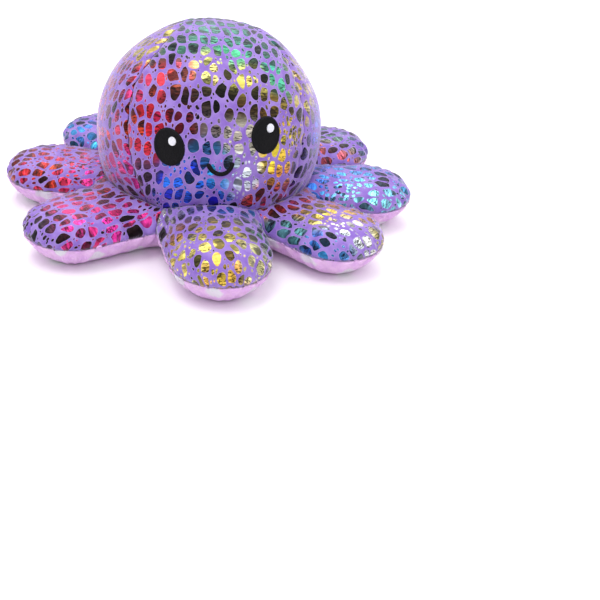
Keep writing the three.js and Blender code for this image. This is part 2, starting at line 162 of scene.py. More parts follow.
# Fillings, and how full the stuffed pieces are
ARM_FILLING_INSET = 3.5 * MM
ARM_FILLING_START = 56 * MM
ARM_FILLING_RINGS = 8
ARM_FILLING_POINTS = 40
HEAD_FILLING_INSET = 3.5 * MM
HEAD_FILLING_LOW = 16.3 * MM
HEAD_FILLING_STEPS = 40
HEAD_FILLING_END = math.pi / 2 - 0.02
POCKET_CLEARANCE = 2 * MM

# Faces: sizes across and up
THREAD_RISE = 0.8 * MM
THREAD_LINE = 2 * MM
LINE_STEPS = 60
LINE_POINTS = 16
LINE_END_SHARE = 0.02
PATCH_RINGS = 30
PATCH_POINTS = 96
PATCH_CROWDING = 1.3
PATCH_FOOT = 0.4 * MM
PATCH_EDGE_SHARE = 0.55
PATCH_DOME_SHARE = 0.25
PATCH_ROUND_SHARE = 0.12
RIM_PLACE_SHARE = 0.9
RIM_WIDTH_SHARE = 0.07
RIM_RISE = 0.28 * MM
FACE_AZIMUTH = 4.8
FACE_TILT = 6.8
FACE_HEIGHT = 56.7 * MM
EYE_SIZE = (14.4 * MM, 16.6 * MM)
EYE_SPACING = 44 * MM
GLINT_SIZE = (3.4 * MM, 3.8 * MM)
GLINT_PLACE = (2 * MM, 2.6 * MM)
GLINT_FOOT = 0.6 * MM
SMILE_WIDTH = 11 * MM
SMILE_DEPTH = 5.2 * MM
SMILE_DROP = 8.2 * MM
SMILE_TURN = -5
BOW_TURN = 75
CROSS_RISE = 14 * MM
CROSS_EYE_SIZE = (17 * MM, 17.8 * MM)
CROSS_EYE_SPACING = 41 * MM
CROSS_GLINT_PLACE = (4.2 * MM, 3.5 * MM)
BROW_LENGTH = 19.4 * MM
BROW_SHIFT = 1 * MM
BROW_LIFT = 4.1 * MM
BROW_RISE = 6.2 * MM
FROWN_WIDTH = 10.7 * MM
FROWN_DEPTH = 4.8 * MM
FROWN_DROP = 14.4 * MM

# Foil print: sizes in mm on the fabric, and reaches and gaps in cells of the pattern. A smooth
# step is written as where it starts and ends, and then its values there unless they are 0 and 1.
LAVENDER = (130, 94, 190)
PALE_LAVENDER = (192, 168, 232)
MOTTLE_SCALE = 0.12
MOTTLE_STEP = (0.3, 0.7, 0.0, 0.3)
# Painted highlight: how strongly the fabric round each pebble is paled, for light caught at the foil's
# edges
EDGE_HIGHLIGHT_SHARE = 0.3
FABRIC_SHEEN = (0.9, 0.36, (236, 222, 255))
ZONE_FALLOFF = 2
LEAST_WEIGHT = 1e-9
HEAD_PATTERN_START = 4000
HEAD_PATTERN_STEP = 200
ARM_PATTERN_STEP = 300
PEBBLE_SIZE = (5.2, 7.8)
WARP = 2.0
WARP_SCALE = 0.15
BIG_SCATTER = 0.72
LEAST_REACH = 0.34
REACH_SPREAD = 0.24
FINE_LOSS = 0.6
NEIGHBOUR_SHARE = 0.79
NEIGHBOUR_GAP = 0.07
ROUNDING = 0.14
SMALL_SHARE = 0.38
SMALL_SHIFT = (3.3, 7.1, 0)
SMALL_SCATTER = 0.8
SMALL_ROOM_SHARE = 0.7
SMALL_GAP = 0.05
LEAST_SMALL = 0.05
SMALL_REACH = 0.07
SMALL_SPREAD = 0.08
FINE_GAIN = 0.05
# Painted reflection on the foil: per-pebble brightness, dark crease lines, glimmer and a painted shadow
# over half of some pebbles
LEAST_PAINTED_SHINE = 0.04
FOIL_PAINTED_SHINES = ((0.05, 0.06), (0.1, 0.45), (0.25, 0.8), (0.4, 1.0))
FOIL_STEP = (-0.008, 0.012)
# Where the painted edge highlight starts and ends outside a pebble
EDGE_HIGHLIGHT_STEP = (-0.07, -0.015)
CRINKLE_SHIFT = (37, 41, 0)
CRINKLE_SCALE = (0.16, 0.6, 1)
PAINTED_CREASE_STEP = (0.012, 0.055, 1.0, 0.0)
PAINTED_CREASED_STEP = (0.2, 0.4)
CREASE_PAINTED_SHADE = 0.9
PAINTED_GLIMMER_STEP = (0.5, 0.66, 0.85, 1.4)
SHADE_SCALE = (0.1, 0.16, 1)
SHADE_STEP = (0.42, 0.5, 0.25, 1.0)
SHADED_STEP = (0.5, 0.6)
LEAST_HUE = 0.48
HUE_SPREAD = 0.04
KNIT_SCALE = (3.2, 1.4, 1)
KNIT_RELIEF = 0.1
FOIL_RELIEF = 0.07
CRINKLE_RELIEF = 0.3
ROUGHNESS_STEP = (0.0, 1.0, 0.72, 0.28)
FOIL_METAL = 0.82

# Spotted plush and thread: sizes in mm on the fabric
PINK = (250, 204, 255)
DEEP_PINK = (240, 186, 252)
PILE_SHADE = (186, 120, 206)
DOT_WHITE = (240, 236, 248)
DOT_COLUMN = 17.6
DOT_ROW = 22.0
DOT_RADIUS = 4.35
DOT_EDGE = 1
DOT_FUZZ_SCALE = 1.6
POCKET_PATTERN_STEP = 500
NAP_SCALE = 0.16
NAP_STEP = (0.35, 0.65)
PILE_SCALE = (2.4, 1.5, 1)
PILE_STEP = (0.3, 0.5, 0.2, 0.0)
PILE_RELIEF = 0.45
PLUSH_SHEEN = (0.7, 0.5, (255, 225, 255))
BLACK_SHADES = ((5, 5, 7), (18, 17, 22))
WHITE_SHADES = ((222, 222, 236), (246, 246, 252))
THREAD_PITCH = 0.55
THREAD_WANDER = 0.8
THREAD_WANDER_SCALE = 0.8
THREAD_RELIEF = 0.05
FILLING_SHADES = ((226, 224, 218), (250, 249, 246))
TUFT_SCALE = 220.0

# Where one dot lies on an arm's flat underside: mm across and along the arm
DOT_PLACES = {
    "front": (-5, 101.5),
    "front_right": (-7, 91),
    "right": (-28.5, 75),
    "left": (25.5, 77.5),
    "front_left": (19.5, 99.5),
}

# Where the foil's colours lie on the head: azimuth, height and reach in mm, and colour
HEAD_ZONES = {
    "teal crown": (31, 95, 14, (46, 106, 90)),
    "teal crown left": (-40, 91, 11, (52, 108, 92)),
    "teal crown right": (62, 89, 12, (46, 104, 92)),
    "turquoise brow right": (54, 79, 9, (75, 215, 175)),
    "turquoise top": (20, 89, 8, (80, 195, 150)),
    "pale yellow top": (2, 85, 8, (246, 236, 140)),
    "yellow brow": (26, 81, 8, (238, 222, 110)),
    "red temple": (-33, 80, 9, (236, 66, 80)),
    "salmon temple": (-20, 82, 6, (240, 110, 105)),
    "red cheek": (-37, 59, 12, (214, 34, 48)),
    # Partly painted reflection: these brow zones are the foil's own maroon, bronze and gold, painted
    # near-black for the dark surroundings it mirrors
    "maroon brow painted dark": (-19, 74, 8, (34, 5, 10)),
    "bronze brow painted dark": (0, 75, 10, (34, 20, 8)),
    "gold brow painted dark": (22, 73, 9, (58, 38, 12)),
    "brown nose": (-12, 65, 7, (104, 20, 20)),
    "grey nose": (0, 66, 6, (132, 118, 118)),
    "silver nose": (18, 60, 7, (214, 206, 190)),
    "blue nose": (-2, 54, 6, (44, 92, 140)),
    "silver cheek": (17, 44, 8, (214, 222, 232)),
    "cyan mouth": (7, 44, 7, (52, 140, 216)),
    "blue chin": (-9, 37, 11, (34, 100, 226)),
    "navy chin": (-6, 26, 10, (20, 48, 184)),
    "gold cheek": (34, 48, 8, (246, 204, 60)),
    "orange cheek": (35, 40, 6, (238, 150, 50)),
    "red neck right": (31, 28, 8, (206, 40, 76)),
    "yellow temple": (44, 60, 9, (228, 190, 70)),
    "bronze temple": (40, 69, 7, (140, 108, 36)),
    # Partly painted sheen: the foil's own gold, made paler here for the sheen on this flank
    "gold flank with painted sheen": (70, 73, 12, (236, 206, 120)),
    "navy flank": (54, 42, 8, (40, 28, 86)),
    "crimson flank": (-58, 63, 16, (184, 50, 84)),
    "magenta flank": (-46, 38, 9, (204, 52, 140)),
    "dark cheek": (-33, 41, 7, (64, 40, 66)),
    "gold crown left": (-75, 88, 9, (226, 196, 96)),
    "rose side": (-92, 48, 20, (196, 70, 120)),
    "blue side": (95, 48, 20, (70, 100, 210)),
    "violet back": (135, 60, 22, (120, 90, 220)),
    "green back": (180, 74, 22, (90, 190, 150)),
    "gold back": (178, 38, 18, (232, 196, 88)),
    "red back": (-138, 52, 22, (214, 60, 80)),
}

# The same on each arm: share of the way out, share of the half width, reach as a share, and colour.
# The sides run from -1 to 1 as azimuth grows.
ARM_ZONE_SHARES = {
    "front": {
        "blue root": (0.12, 0.2, 0.18, (44, 110, 214)),
        "slate root": (0.16, -0.5, 0.16, (118, 122, 190)),
        "silver crotch": (0.1, -1.0, 0.2, (238, 238, 240)),
        "copper side": (0.35, -0.8, 0.2, (178, 96, 48)),
        "green side": (0.4, 0.75, 0.22, (66, 138, 120)),
        "yellow middle": (0.5, 0.0, 0.25, (252, 222, 84)),
        "pale yellow left": (0.7, -0.5, 0.25, (250, 230, 120)),
        "pale right": (0.8, 0.6, 0.2, (240, 232, 170)),
        "gold tip": (0.92, 0.0, 0.18, (232, 180, 70)),
    },
    "front_right": {
        "red root": (0.1, 0.0, 0.2, (200, 30, 50)),
        "orange side": (0.35, 0.8, 0.25, (232, 110, 80)),
        "gold middle": (0.45, 0.0, 0.22, (244, 206, 80)),
        "gold back": (0.7, 0.6, 0.22, (234, 180, 70)),
        "green crotch": (0.35, -0.9, 0.16, (70, 120, 130)),
        "silver middle": (0.75, -0.1, 0.2, (240, 242, 240)),
        "blue edge": (0.75, -0.8, 0.22, (46, 110, 180)),
        "olive tip": (0.95, 0.5, 0.16, (176, 160, 70)),
    },
    "right": {
        "blue root": (0.15, 0.0, 0.25, (56, 130, 232)),
        "sky middle": (0.5, 0.0, 0.3, (76, 164, 240)),
        "cyan edge": (0.6, -0.8, 0.3, (140, 220, 246)),
        "blue tip": (0.9, 0.2, 0.2, (60, 120, 200)),
    },
    "back_right": {
        "red root": (0.2, -0.6, 0.3, (226, 96, 120)),
        "green middle": (0.55, 0.0, 0.3, (96, 150, 120)),
        "purple tip": (0.9, 0.0, 0.3, (120, 96, 190)),
    },
    "back": {
        "gold root": (0.15, 0.0, 0.3, (230, 190, 80)),
        "red middle": (0.55, -0.4, 0.3, (220, 70, 70)),
        "green side": (0.6, 0.7, 0.3, (90, 170, 130)),
        "blue tip": (0.9, 0.0, 0.25, (60, 120, 220)),
    },
    "back_left": {
        "blue root": (0.2, 0.0, 0.3, (80, 170, 236)),
        "blue middle": (0.6, 0.0, 0.35, (60, 136, 226)),
        "navy tip": (0.95, 0.0, 0.2, (34, 60, 130)),
    },
    "left": {
        "magenta root": (0.15, 0.0, 0.25, (190, 44, 120)),
        "red middle": (0.5, 0.0, 0.3, (190, 42, 50)),
        "salmon back": (0.7, -0.7, 0.3, (176, 68, 66)),
        "dark red tip": (0.95, 0.0, 0.2, (140, 36, 40)),
    },
    "front_left": {
        "crimson root": (0.12, 0.0, 0.25, (196, 30, 70)),
        "magenta side": (0.45, 0.8, 0.3, (226, 52, 140)),
        "pink middle": (0.5, -0.1, 0.3, (196, 44, 108)),
        "salmon back": (0.55, -0.9, 0.25, (190, 76, 104)),
        "black tip": (0.93, 0.0, 0.2, (36, 36, 44)),
    },
}
ZONE_START = 0.85 * CROTCH_RADIUS
SIDE_STRETCH = 2.2

# Where all pebbles are small: places and reaches in the same units
FINE_HEAD_ZONES = [(44, 61, 6), (46, 53, 5)]
FINE_ARM_SHARES = {
    "left": [(0.22, 0.3, 0.16)],
    "front_left": [(0.97, -0.4, 0.12)],
    "front_right": [(0.62, -0.2, 0.1)],
    "right": [(0.3, -0.7, 0.16)],
}

# Camera: where it stood, what it looked at and where that lies in the 600 pixel picture
CAMERA_PLACE = Vector((0, -468.3, 234.7)) * MM
CAMERA_TARGET = Vector((0, 0, 44.2)) * MM
TARGET_PIXEL = (209.2, 126.4)
PICTURE_SIZE = 600
FOCAL_PIXELS = 1041.6
CAMERA_SHIFT_SHARES = (0.1, -0.15)
CAMERA_ROLL = 2
CAMERA_CLIP = 10 * MM

# Studio: lamps with their place and size in metres and their power in watts, and the room
LAMPS = {
    "key": ((-0.25, -0.3, 1.05), 0.5, 3.2),
    "fill": ((0.55, -0.35, 0.85), 0.6, 1.1),
    "rim": ((0, 0.7, 0.8), 0.6, 4.2),
}
FLOOR_SIZE = 6.0
WALL_LEVEL = 0.13
CEILING_LEVEL = 1.4
CEILING_START = 0.9
BACKDROP_LEVEL = 1.0


# Small maths

def outward(azimuth):
    """The level direction at an azimuth."""
    return np.array([math.sin(math.radians(azimuth)), -math.cos(math.radians(azimuth)), 0])


def sideward(azimuth):
    """The level direction in which the azimuth grows."""
    return np.array([math.cos(math.radians(azimuth)), math.sin(math.radians(azimuth)), 0])


def point_at(azimuth, radius, height):
    return outward(azimuth) * radius + np.array([0, 0, height])


def azimuths_of(points):
    return np.degrees(np.arctan2(points[:, 0], -points[:, 1]))


def turn_from(start, azimuth):
    """How far an azimuth lies from another one, from -180 to 180 degrees."""
    return (azimuth - start + 180) % 360 - 180


def neighbours(count, closed):
    """Pairs of numbers that follow each other, with the last and the first one if closed."""
    pairs = [(i, (i + 1) % count) for i in range(count)]
    return pairs if closed else pairs[:-1]


def pillow(share):
    """How full a cushion is at a share of the way in from its seam."""
    return np.sqrt(1 - (1 - np.clip(share, 0, 1)) ** 3)


def colour(red, green, blue):
    """A colour on the screen, 0 to 255, as the linear values that a shader takes."""
    def linear(value):
        share = value / 255
        return share / 12.92 if share <= 0.04045 else ((share + 0.055) / 1.055) ** 2.4
    return (linear(red), linear(green), linear(blue), 1)


def foil_tints(distance_to, zones, fine_zones):
    """The foil's colours, mixed from zones to which distance_to(zone) gives the distances in
    reaches. Their last value is low where all pebbles are small."""
    distances = np.array([distance_to(zone) for zone in zones]).T
    weights = np.exp(-ZONE_FALLOFF * distances ** 2) + LEAST_WEIGHT
    weights /= weights.sum(axis=1, keepdims=True)
    tints = weights @ np.array([colour(*zone[-1]) for zone in zones])
    for zone in fine_zones:
        tints[:, 3] -= np.exp(-distance_to(zone) ** 4)
    tints[:, 3] = np.clip(tints[:, 3], 0, 1)
    return tints


# Meshes

def mesh_object(name, points, faces):
    mesh = bpy.data.meshes.new(name)
    mesh.from_pydata([tuple(p) for p in points], [], [tuple(f) for f in faces])
    mesh.validate()
    mesh.shade_smooth()
    piece = bpy.data.objects.new(name, mesh)
    bpy.context.scene.collection.objects.link(piece)
    return piece


def grid_faces(rows, columns, round_rows=False, round_columns=False):
    """Faces of a grid of points that is listed row by row and may close on itself."""
    return [
        (row * columns + left, below * columns + left, below * columns + right, row * columns + right)
        for row, below in neighbours(rows, round_rows)
        for left, right in neighbours(columns, round_columns)
    ]


def turned_mesh(name, profile):
    """A closed ring turned round the Z axis from a closed list of [radius, height] pairs."""
    azimuths = [360 * i / RING_SEGMENTS for i in range(RING_SEGMENTS)]
    points = [point_at(azimuth, *pair) for azimuth in azimuths for pair in profile]
    return mesh_object(name, points, grid_faces(RING_SEGMENTS, len(profile), True, True))


def stack_points(rings):
    """The points of a stack of rings, of which the first and the last have shrunk to a point."""
    return np.vstack([rings[0][:1], *rings[1:-1], rings[-1][:1]])


def stack_mesh(name, rings):
    """A closed surface over such a stack of rings."""
    count = len(rings[0])
    last = (len(rings) - 2) * count + 1
    faces = [[i + 1 for i in face] for face in grid_faces(len(rings) - 2, count, False, True)]
    for i, j in neighbours(count, True):
        faces += [(0, 1 + i, 1 + j), (last, last - count + j, last - count + i)]
    return mesh_object(name, stack_points(rings), faces)


def store_places(piece, places, shift=(0, 0)):
    """Keeps where each point lies on its flat fabric, in mm and moved by a shift, for patterns."""
    moved = np.reshape(places, (-1, 2)) / MM + np.array(shift)
    moved = np.column_stack([moved, 0 * moved[:, 0]])
    attribute = piece.data.attributes.new("fabric_place", "FLOAT_VECTOR", "POINT")
    attribute.data.foreach_set("vector", moved.astype(np.float32).ravel())


def store_tints(piece, tints):
    attribute = piece.data.attributes.new("foil_tint", "FLOAT_COLOR", "POINT")
    attribute.data.foreach_set("color", np.asarray(tints, np.float32).ravel())


def thicken(piece, thickness):
    """Gives a sheet its thickness, inwards."""
    solid = piece.modifiers.new("fabric thickness", "SOLIDIFY")
    solid.thickness = thickness
    solid.offset = -1


def finish_piece(piece, slot, node, body="root"):
    """Gives a piece its material and hides the node it stands for. A root piece is attached to the root;
    others are baked in place.
    """
    piece.data.materials.append(materials[slot])
    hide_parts(node)
    if body == "root":
        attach(piece, "root")
        return
    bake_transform(piece)


# Where the arms lie, from their hinges

arm_azimuths = {
    joint["child"].removeprefix("arm_"):
        math.degrees(math.atan2(joint["pos_m"][0], -joint["pos_m"][1])) % 360
    for joint in frame["joints"]
}
arm_names = sorted(arm_azimuths, key=arm_azimuths.get)


def arm_bounds(name):
    """How many degrees an arm's share of the skirt reaches to either side."""
    index = arm_names.index(name)
    own = arm_azimuths[name]
    before = arm_azimuths[arm_names[index - 1]]
    after = arm_azimuths[arm_names[(index + 1) % len(arm_names)]]
    return (own - before) % 360 / 2, (after - own) % 360 / 2


# The skirt: two flat flowers of fabric, sewn together along their outline and filled

def spaced(start, end, spacing):
    """Evenly spaced points from start up to, but without, end."""
    count = max(1, round(float(np.linalg.norm(end - start)) / spacing))
    return [start + (end - start) * i / count for i in range(count)]


def petal_outline(name):
    """The flat outline of one arm, from the crotch before it up to, but without, the next."""
    before, after = arm_bounds(name)
    tip = np.array([ARM_REACH - TIP_RADIUS, 0])

    def crotch(angle):
        return np.array([math.cos(math.radians(angle)), math.sin(math.radians(angle))]) * CROTCH_RADIUS

    def touch_angle(corner):
        toward = corner - tip
        lean = math.atan2(abs(toward[1]), toward[0])
        return lean - math.acos(TIP_RADIUS / np.linalg.norm(toward))

    first, last = crotch(-before), crotch(after)
    start, end = -touch_angle(first), touch_angle(last)
    count = round((end - start) * TIP_RADIUS / CLOTH_SPACING)
    turns = [start + (end - start) * i / count for i in range(count + 1)]
    arc = [tip + TIP_RADIUS * np.array([math.cos(turn), math.sin(turn)]) for turn in turns]
    local = [*spaced(first, arc[0], CLOTH_SPACING), *arc[:-1], *spaced(arc[-1], last, CLOTH_SPACING)]
    azimuth = arm_azimuths[name]
    return [(outward(azimuth) * p[0] + sideward(azimuth) * p[1])[:2] for p in local]


def distance_to_line(points, line):
    """How far each point lies from a closed line of points."""
    best = np.full(len(points), np.inf)
    for a, b in zip(line, np.roll(line, -1, axis=0)):
        run = b - a
        share = np.clip((points - a) @ run / (run @ run), 0, 1)
        best = np.minimum(best, np.linalg.norm(points - a - share[:, None] * run, axis=1))
    return best


def inside_line(points, line):
    """Which points lie inside a closed line of points."""
    x, y = points[:, 0], points[:, 1]
    inside = np.zeros(len(points), bool)
    for a, b in zip(line, np.roll(line, -1, axis=0)):
        crosses = (a[1] > y) != (b[1] > y)
        if crosses.any():
            reach = (b[0] - a[0]) * (y - a[1]) / (b[1] - a[1] or 1) + a[0]
            inside ^= crosses & (x < reach)
    return inside


def seam_row(outline, inset):
    """Points at one distance inside the outline, also round its inner corners."""
    points = []
    for last, here, following in zip(np.roll(outline, 1, axis=0), outline, np.roll(outline, -1, axis=0)):
        runs = [here - last, following - here]
        sides = [np.array([-run[1], run[0]]) / np.linalg.norm(run) for run in runs]
        turn = math.acos(np.clip(sides[0] @ sides[1], -1, 1))
        count = 1 + round(turn * inset / CLOTH_SPACING * CORNER_CROWDING)
        for i in range(count):
            share = (i + 0.5) / count
            side = sides[0] * (1 - share) + sides[1] * share
            points.append(here + side / np.linalg.norm(side) * inset)
    points = np.array(points)
    return points[distance_to_line(points, outline) > inset * ROW_CLEARANCE_SHARE]


def skirt_lattice(outline, spokes):
    """Points inside the outline: rows along the seam, then an even, slightly shaken lattice. They
    stay clear of the ring and of the spokes between the arms."""
    rows = np.vstack([seam_row(outline, inset) for inset in SEAM_ROWS])
    half = int(ARM_REACH / CLOTH_SPACING) + LATTICE_MARGIN
    half_rows = half + LATTICE_EXTRA_ROWS
    lattice = np.array([
        [(column + (row % 2) / 2) * CLOTH_SPACING, row * CLOTH_SPACING * math.sqrt(3) / 2]
        for row in range(-half_rows, half_rows + 1)
        for column in range(-half - 1, half + 1)
    ])
    lattice += np.random.default_rng(LATTICE_SEED).uniform(-LATTICE_SHAKE, LATTICE_SHAKE, lattice.shape)
    lattice = lattice[inside_line(lattice, outline)]
    lattice = lattice[distance_to_line(lattice, outline) > SEAM_ROWS[-1] + LATTICE_CLEARANCE]
    points = np.vstack([rows, lattice])
    points = points[np.linalg.norm(points, axis=1) > SKIRT_START + RING_CLEARANCE]
    for spoke in spokes:
        gaps = np.linalg.norm(points[:, None] - spoke[None, 1:], axis=2)
        points = points[np.min(gaps, axis=1) > SPOKE_CLEARANCE]
    return points


def ring_points(borders):
    """Points round the inner edge of the skirt, one of them at each border between two arms."""
    points = []
    for border, following in zip(borders, [*borders[1:], borders[0]]):
        width = (following - border) % 360
        count = round(math.radians(width) * SKIRT_START / CLOTH_SPACING)
        points += [outward(border + width * i / count)[:2] * SKIRT_START for i in range(count)]
    return np.array(points)


def facing_up(flat, triangles):
    """The triangles with their corners in the order that makes them face up."""
    a, b, c = (flat[triangles[:, i]] for i in range(3))
    doubled = (b[:, 0] - a[:, 0]) * (c[:, 1] - a[:, 1]) - (b[:, 1] - a[:, 1]) * (c[:, 0] - a[:, 0])
    return np.where(doubled[:, None] < 0, triangles[:, ::-1], triangles)


def skirt_pattern():
    """The flat flower cut into small triangles: its points, triangles and outline."""
    outline = np.array([place for name in arm_names for place in petal_outline(name)])
    borders = [arm_azimuths[name] + arm_bounds(name)[1] for name in arm_names]
    ring = ring_points(borders)
    points = [*outline, *ring]
    edges = neighbours(len(outline), True)
    edges += [(len(outline) + i, len(outline) + j) for i, j in neighbours(len(ring), True)]
    spokes = []
    for border in borders:
        start, crotch = (outward(border)[:2] * radius for radius in (SKIRT_START, CROTCH_RADIUS))
        spokes.append(np.array(spaced(start, crotch, SPOKE_SPACING)))
        inner = len(outline) + int(np.argmin(np.linalg.norm(ring - start, axis=1)))
        outer = int(np.argmin(np.linalg.norm(outline - crotch, axis=1)))
        chain = [inner, *range(len(points), len(points) + len(spokes[-1]) - 1), outer]
        points.extend(spokes[-1][1:])
        edges += zip(chain, chain[1:])
    points.extend(skirt_lattice(outline, spokes))
    found = delaunay_2d_cdt([Vector(p) for p in points], edges, [], 1, MERGE_DISTANCE)
    flat = np.array([tuple(p) for p in found[0]])
    triangles = np.array(found[2])
    middles = flat[triangles].mean(axis=1)
    triangles = triangles[np.linalg.norm(middles, axis=1) > SKIRT_START * RING_LIMIT_SHARE]
    return flat, facing_up(flat, triangles), outline


def links_of(triangles):
    """The sides of the triangles, and the pairs of points that face each other across a side."""
    sides = {}
    for triangle in triangles.tolist():
        for i in range(3):
            a, b, c = triangle[i], triangle[(i + 1) % 3], triangle[(i + 2) % 3]
            sides.setdefault((min(a, b), max(a, b)), []).append(c)
    across = [facing for facing in sides.values() if len(facing) == 2]
    return np.array(list(sides)), np.array(across)


def point_normals(points, triangles):
    a, b, c = (points[triangles[:, i]] for i in range(3))
    faces = np.cross(b - a, c - a)
    total = np.zeros_like(points)
    for corner in range(3):
        for axis in range(3):
            total[:, axis] += np.bincount(triangles[:, corner], faces[:, axis], len(points))
    return total / (np.linalg.norm(total, axis=1, keepdims=True) + LEAST_NORMAL)


def even_out(points, links, lengths, stiffness, free):
    """Moves points a little so that their links come nearer to their lengths."""
    first, second = links.T
    count = len(points)
    gap = points[second] - points[first]
    change = (stiffness * (1 - lengths / np.linalg.norm(gap, axis=1)) / 2)[:, None] * gap
    total = np.column_stack([
        np.bincount(first, change[:, axis], count) - np.bincount(second, change[:, axis], count)
        for axis in range(points.shape[1])
    ])
    points += total * free


def settle(points, links, lengths, stiffness, free, hold):
    """Lets fabric with its own lengths settle. hold(points) puts back what the filling, the
    table, the head and the seams stop."""
    moved, before = points.copy(), points.copy()
    share = CLOTH_PULL / np.maximum(np.bincount(links.ravel(), minlength=len(points)), 1)
    for _ in range(CLOTH_STEPS):
        speed = (moved - before) * CLOTH_DAMPING
        before = moved.copy()
        moved += speed * free
        for _ in range(CLOTH_ROUNDS):
            even_out(moved, links, lengths, stiffness, share[:, None] * free)
            hold(moved)
    return moved


def keep_off_head(points):
    """Moves points out of the head."""
    away = points - HEAD_CENTRE
    distance = np.linalg.norm(away, axis=1)
    limit = HEAD_RADIUS + HEAD_CLEARANCE
    inside = distance < limit
    points[inside] = HEAD_CENTRE + away[inside] * (limit / distance[inside])[:, None]


def underside_level(inset):
    """The height of the underside at a distance in from the seam."""
    return SEAM_HEIGHT * (1 - np.clip(inset / FLOOR_INSET, 0, 1)) ** UNDERSIDE_CURVE


def skirt_levels(flat, from_seam, from_ring):
    """The heights of both layers over the flat flower. The front arm rises higher than the rest."""
    turn = turn_from(arm_azimuths["front"], azimuths_of(flat))
    before, after = arm_bounds("front")
    aside = np.clip(np.where(turn < 0, -turn / before, turn / after), 0, 1)
    rise = ARM_RISE + (FRONT_ARM_RISE - ARM_RISE) * (1 - aside ** 2)
    out_share = np.clip(from_ring / (CROTCH_RADIUS - SKIRT_START), 0, 1)
    upper = SKIRT_TOP_EDGE + (SEAM_HEIGHT - SKIRT_TOP_EDGE) * out_share
    upper += rise * pillow(from_seam / TIP_RADIUS) * pillow(out_share)
    lower = np.maximum(underside_level(from_seam), SKIRT_UNDER_EDGE * (1 - out_share))
    return upper, np.maximum(lower, FLOOR_CLEARANCE)


def outline_sides(outline):
    """The level directions out of the outline, at its own points."""
    runs = np.roll(outline, -1, axis=0) - np.roll(outline, 1, axis=0)
    sides = np.column_stack([runs[:, 1], -runs[:, 0]])
    return sides / np.linalg.norm(sides, axis=1, keepdims=True)


def arm_puckers(outline, nearest, from_seam):
    """How far the fabric stands out in the small folds that start at the seam."""
    steps = np.linalg.norm(np.roll(outline, -1, axis=0) - outline, axis=1)
    along = (np.cumsum(steps) - steps)[nearest] / ARM_PUCKER_LENGTH
    wave = np.cos(math.tau * (along + ARM_PUCKER_WANDER * np.sin(ARM_WANDER_RATE * along)))
    reach = np.exp(-from_seam / PUCKER_REACH) * (1 - np.exp(-from_seam / ARM_PUCKER_START))
    return ARM_PUCKER_HEIGHT * wave * reach


def cloth_links(home, flat, from_seam, triangles, upper_count):
    """What holds the fabric: sides of triangles, all pairs of linked points, their lengths and
    stiffness. It is cut larger than it lies at home, most of all where it gathers at the seam."""
    sides, across = links_of(triangles)
    links = np.vstack([sides, across])
    lengths = np.linalg.norm(home[links[:, 0]] - home[links[:, 1]], axis=1)
    level_share = np.linalg.norm(flat[links[:, 0]] - flat[links[:, 1]], axis=1) / lengths
    gathered = np.exp(-(from_seam[links].mean(axis=1) / GATHERED_BAND) ** 2)
    growth = FABRIC_GROWTH + (GATHER_GROWTH - FABRIC_GROWTH) * gathered * level_share ** 2
    lengths *= np.where(from_seam[links].max(axis=1) > ON_LINE, growth, 1)
    over_seam = (across.min(axis=1) < upper_count) & (across.max(axis=1) >= upper_count)
    stiffness = np.concatenate([np.ones(len(sides)), np.where(over_seam, 0, BEND_STIFFNESS)])
    return sides, links, lengths, stiffness


def first_puckers(sides, count):
    """Soft random heights from which the fabric starts to settle."""
    shaken = np.random.default_rng(PUCKER_SEED).normal(0, 1, count)
    for _ in range(PUCKER_ROUNDS):
        total = np.bincount(sides[:, 0], shaken[sides[:, 1]], count)
        total += np.bincount(sides[:, 1], shaken[sides[:, 0]], count)
        shaken = total / np.bincount(sides.ravel(), minlength=count)
    return shaken * (FIRST_PUCKER / shaken.std())


def wedge_walls(azimuths):
    """The upright walls between neighbouring arms: the normal of each, which points it holds
    back and which lie on it."""
    walls = []
    for name in arm_names:
        before, after = arm_bounds(name)
        turn = turn_from(arm_azimuths[name], azimuths)
        for edge, sign in ((after, 1), (-before, -1)):
            on = np.abs(turn - edge) < ON_WALL
            members = (turn > -before) & (turn < after) & ~on
            walls.append((sideward(arm_azimuths[name] + edge)[:2] * sign, members, on))
    return walls


def make_skirt():
    """The settled skirt: its points, upper and lower triangles, and flat outline places."""
    flat, triangles, outline = skirt_pattern()
    from_seam = distance_to_line(flat, outline)
    from_ring = np.linalg.norm(flat, axis=1) - SKIRT_START
    upper, lower = skirt_levels(flat, from_seam, from_ring)

    # Both layers share the points on the seam, and all other points are doubled
    count = len(flat)
    seam = np.flatnonzero(from_seam < ON_LINE)
    off_seam = np.flatnonzero(from_seam >= ON_LINE)
    lower_index = np.arange(count)
    lower_index[off_seam] = count + np.arange(len(off_seam))
    lower_triangles = lower_index[triangles][:, ::-1]
    all_triangles = np.vstack([triangles, lower_triangles])
    both = np.concatenate([np.arange(count), off_seam])
    flat, from_seam = flat[both], from_seam[both]
    free = np.where(from_ring[both] < ON_LINE, 0.0, 1.0)[:, None]

    home = np.column_stack([flat, np.concatenate([upper, lower[off_seam]])])
    nearest = np.argmin(np.linalg.norm(flat[:, None] - outline[None], axis=2), axis=1)
    home[seam, 2] = SEAM_HEIGHT
    home[seam, :2] -= outline_sides(outline)[nearest[seam]] * SEAM_DRAW
    keep_off_head(home)
    home += point_normals(home, all_triangles) * arm_puckers(outline, nearest, from_seam)[:, None]
    sides, links, lengths, stiffness = cloth_links(home, flat, from_seam, all_triangles, count)
    walls = wedge_walls(azimuths_of(flat))

    def hold(moved):
        moved += (home - moved) * FILLING_HOLD * free
        moved[seam] += (home[seam] - moved[seam]) * SEAM_HOLD
        moved[:, 2] = np.maximum(moved[:, 2], FLOOR_CLEARANCE)
        for normal, members, on in walls:
            past = moved[:, :2] @ normal
            over = members & (past > 0) | on
            moved[over, :2] -= past[over, None] * normal
        keep_off_head(moved)

    puckers = first_puckers(sides, len(home))[:, None]
    start = home + point_normals(home, all_triangles) * puckers * free
    return settle(start, links, lengths, stiffness, free, hold), triangles, lower_triangles, flat


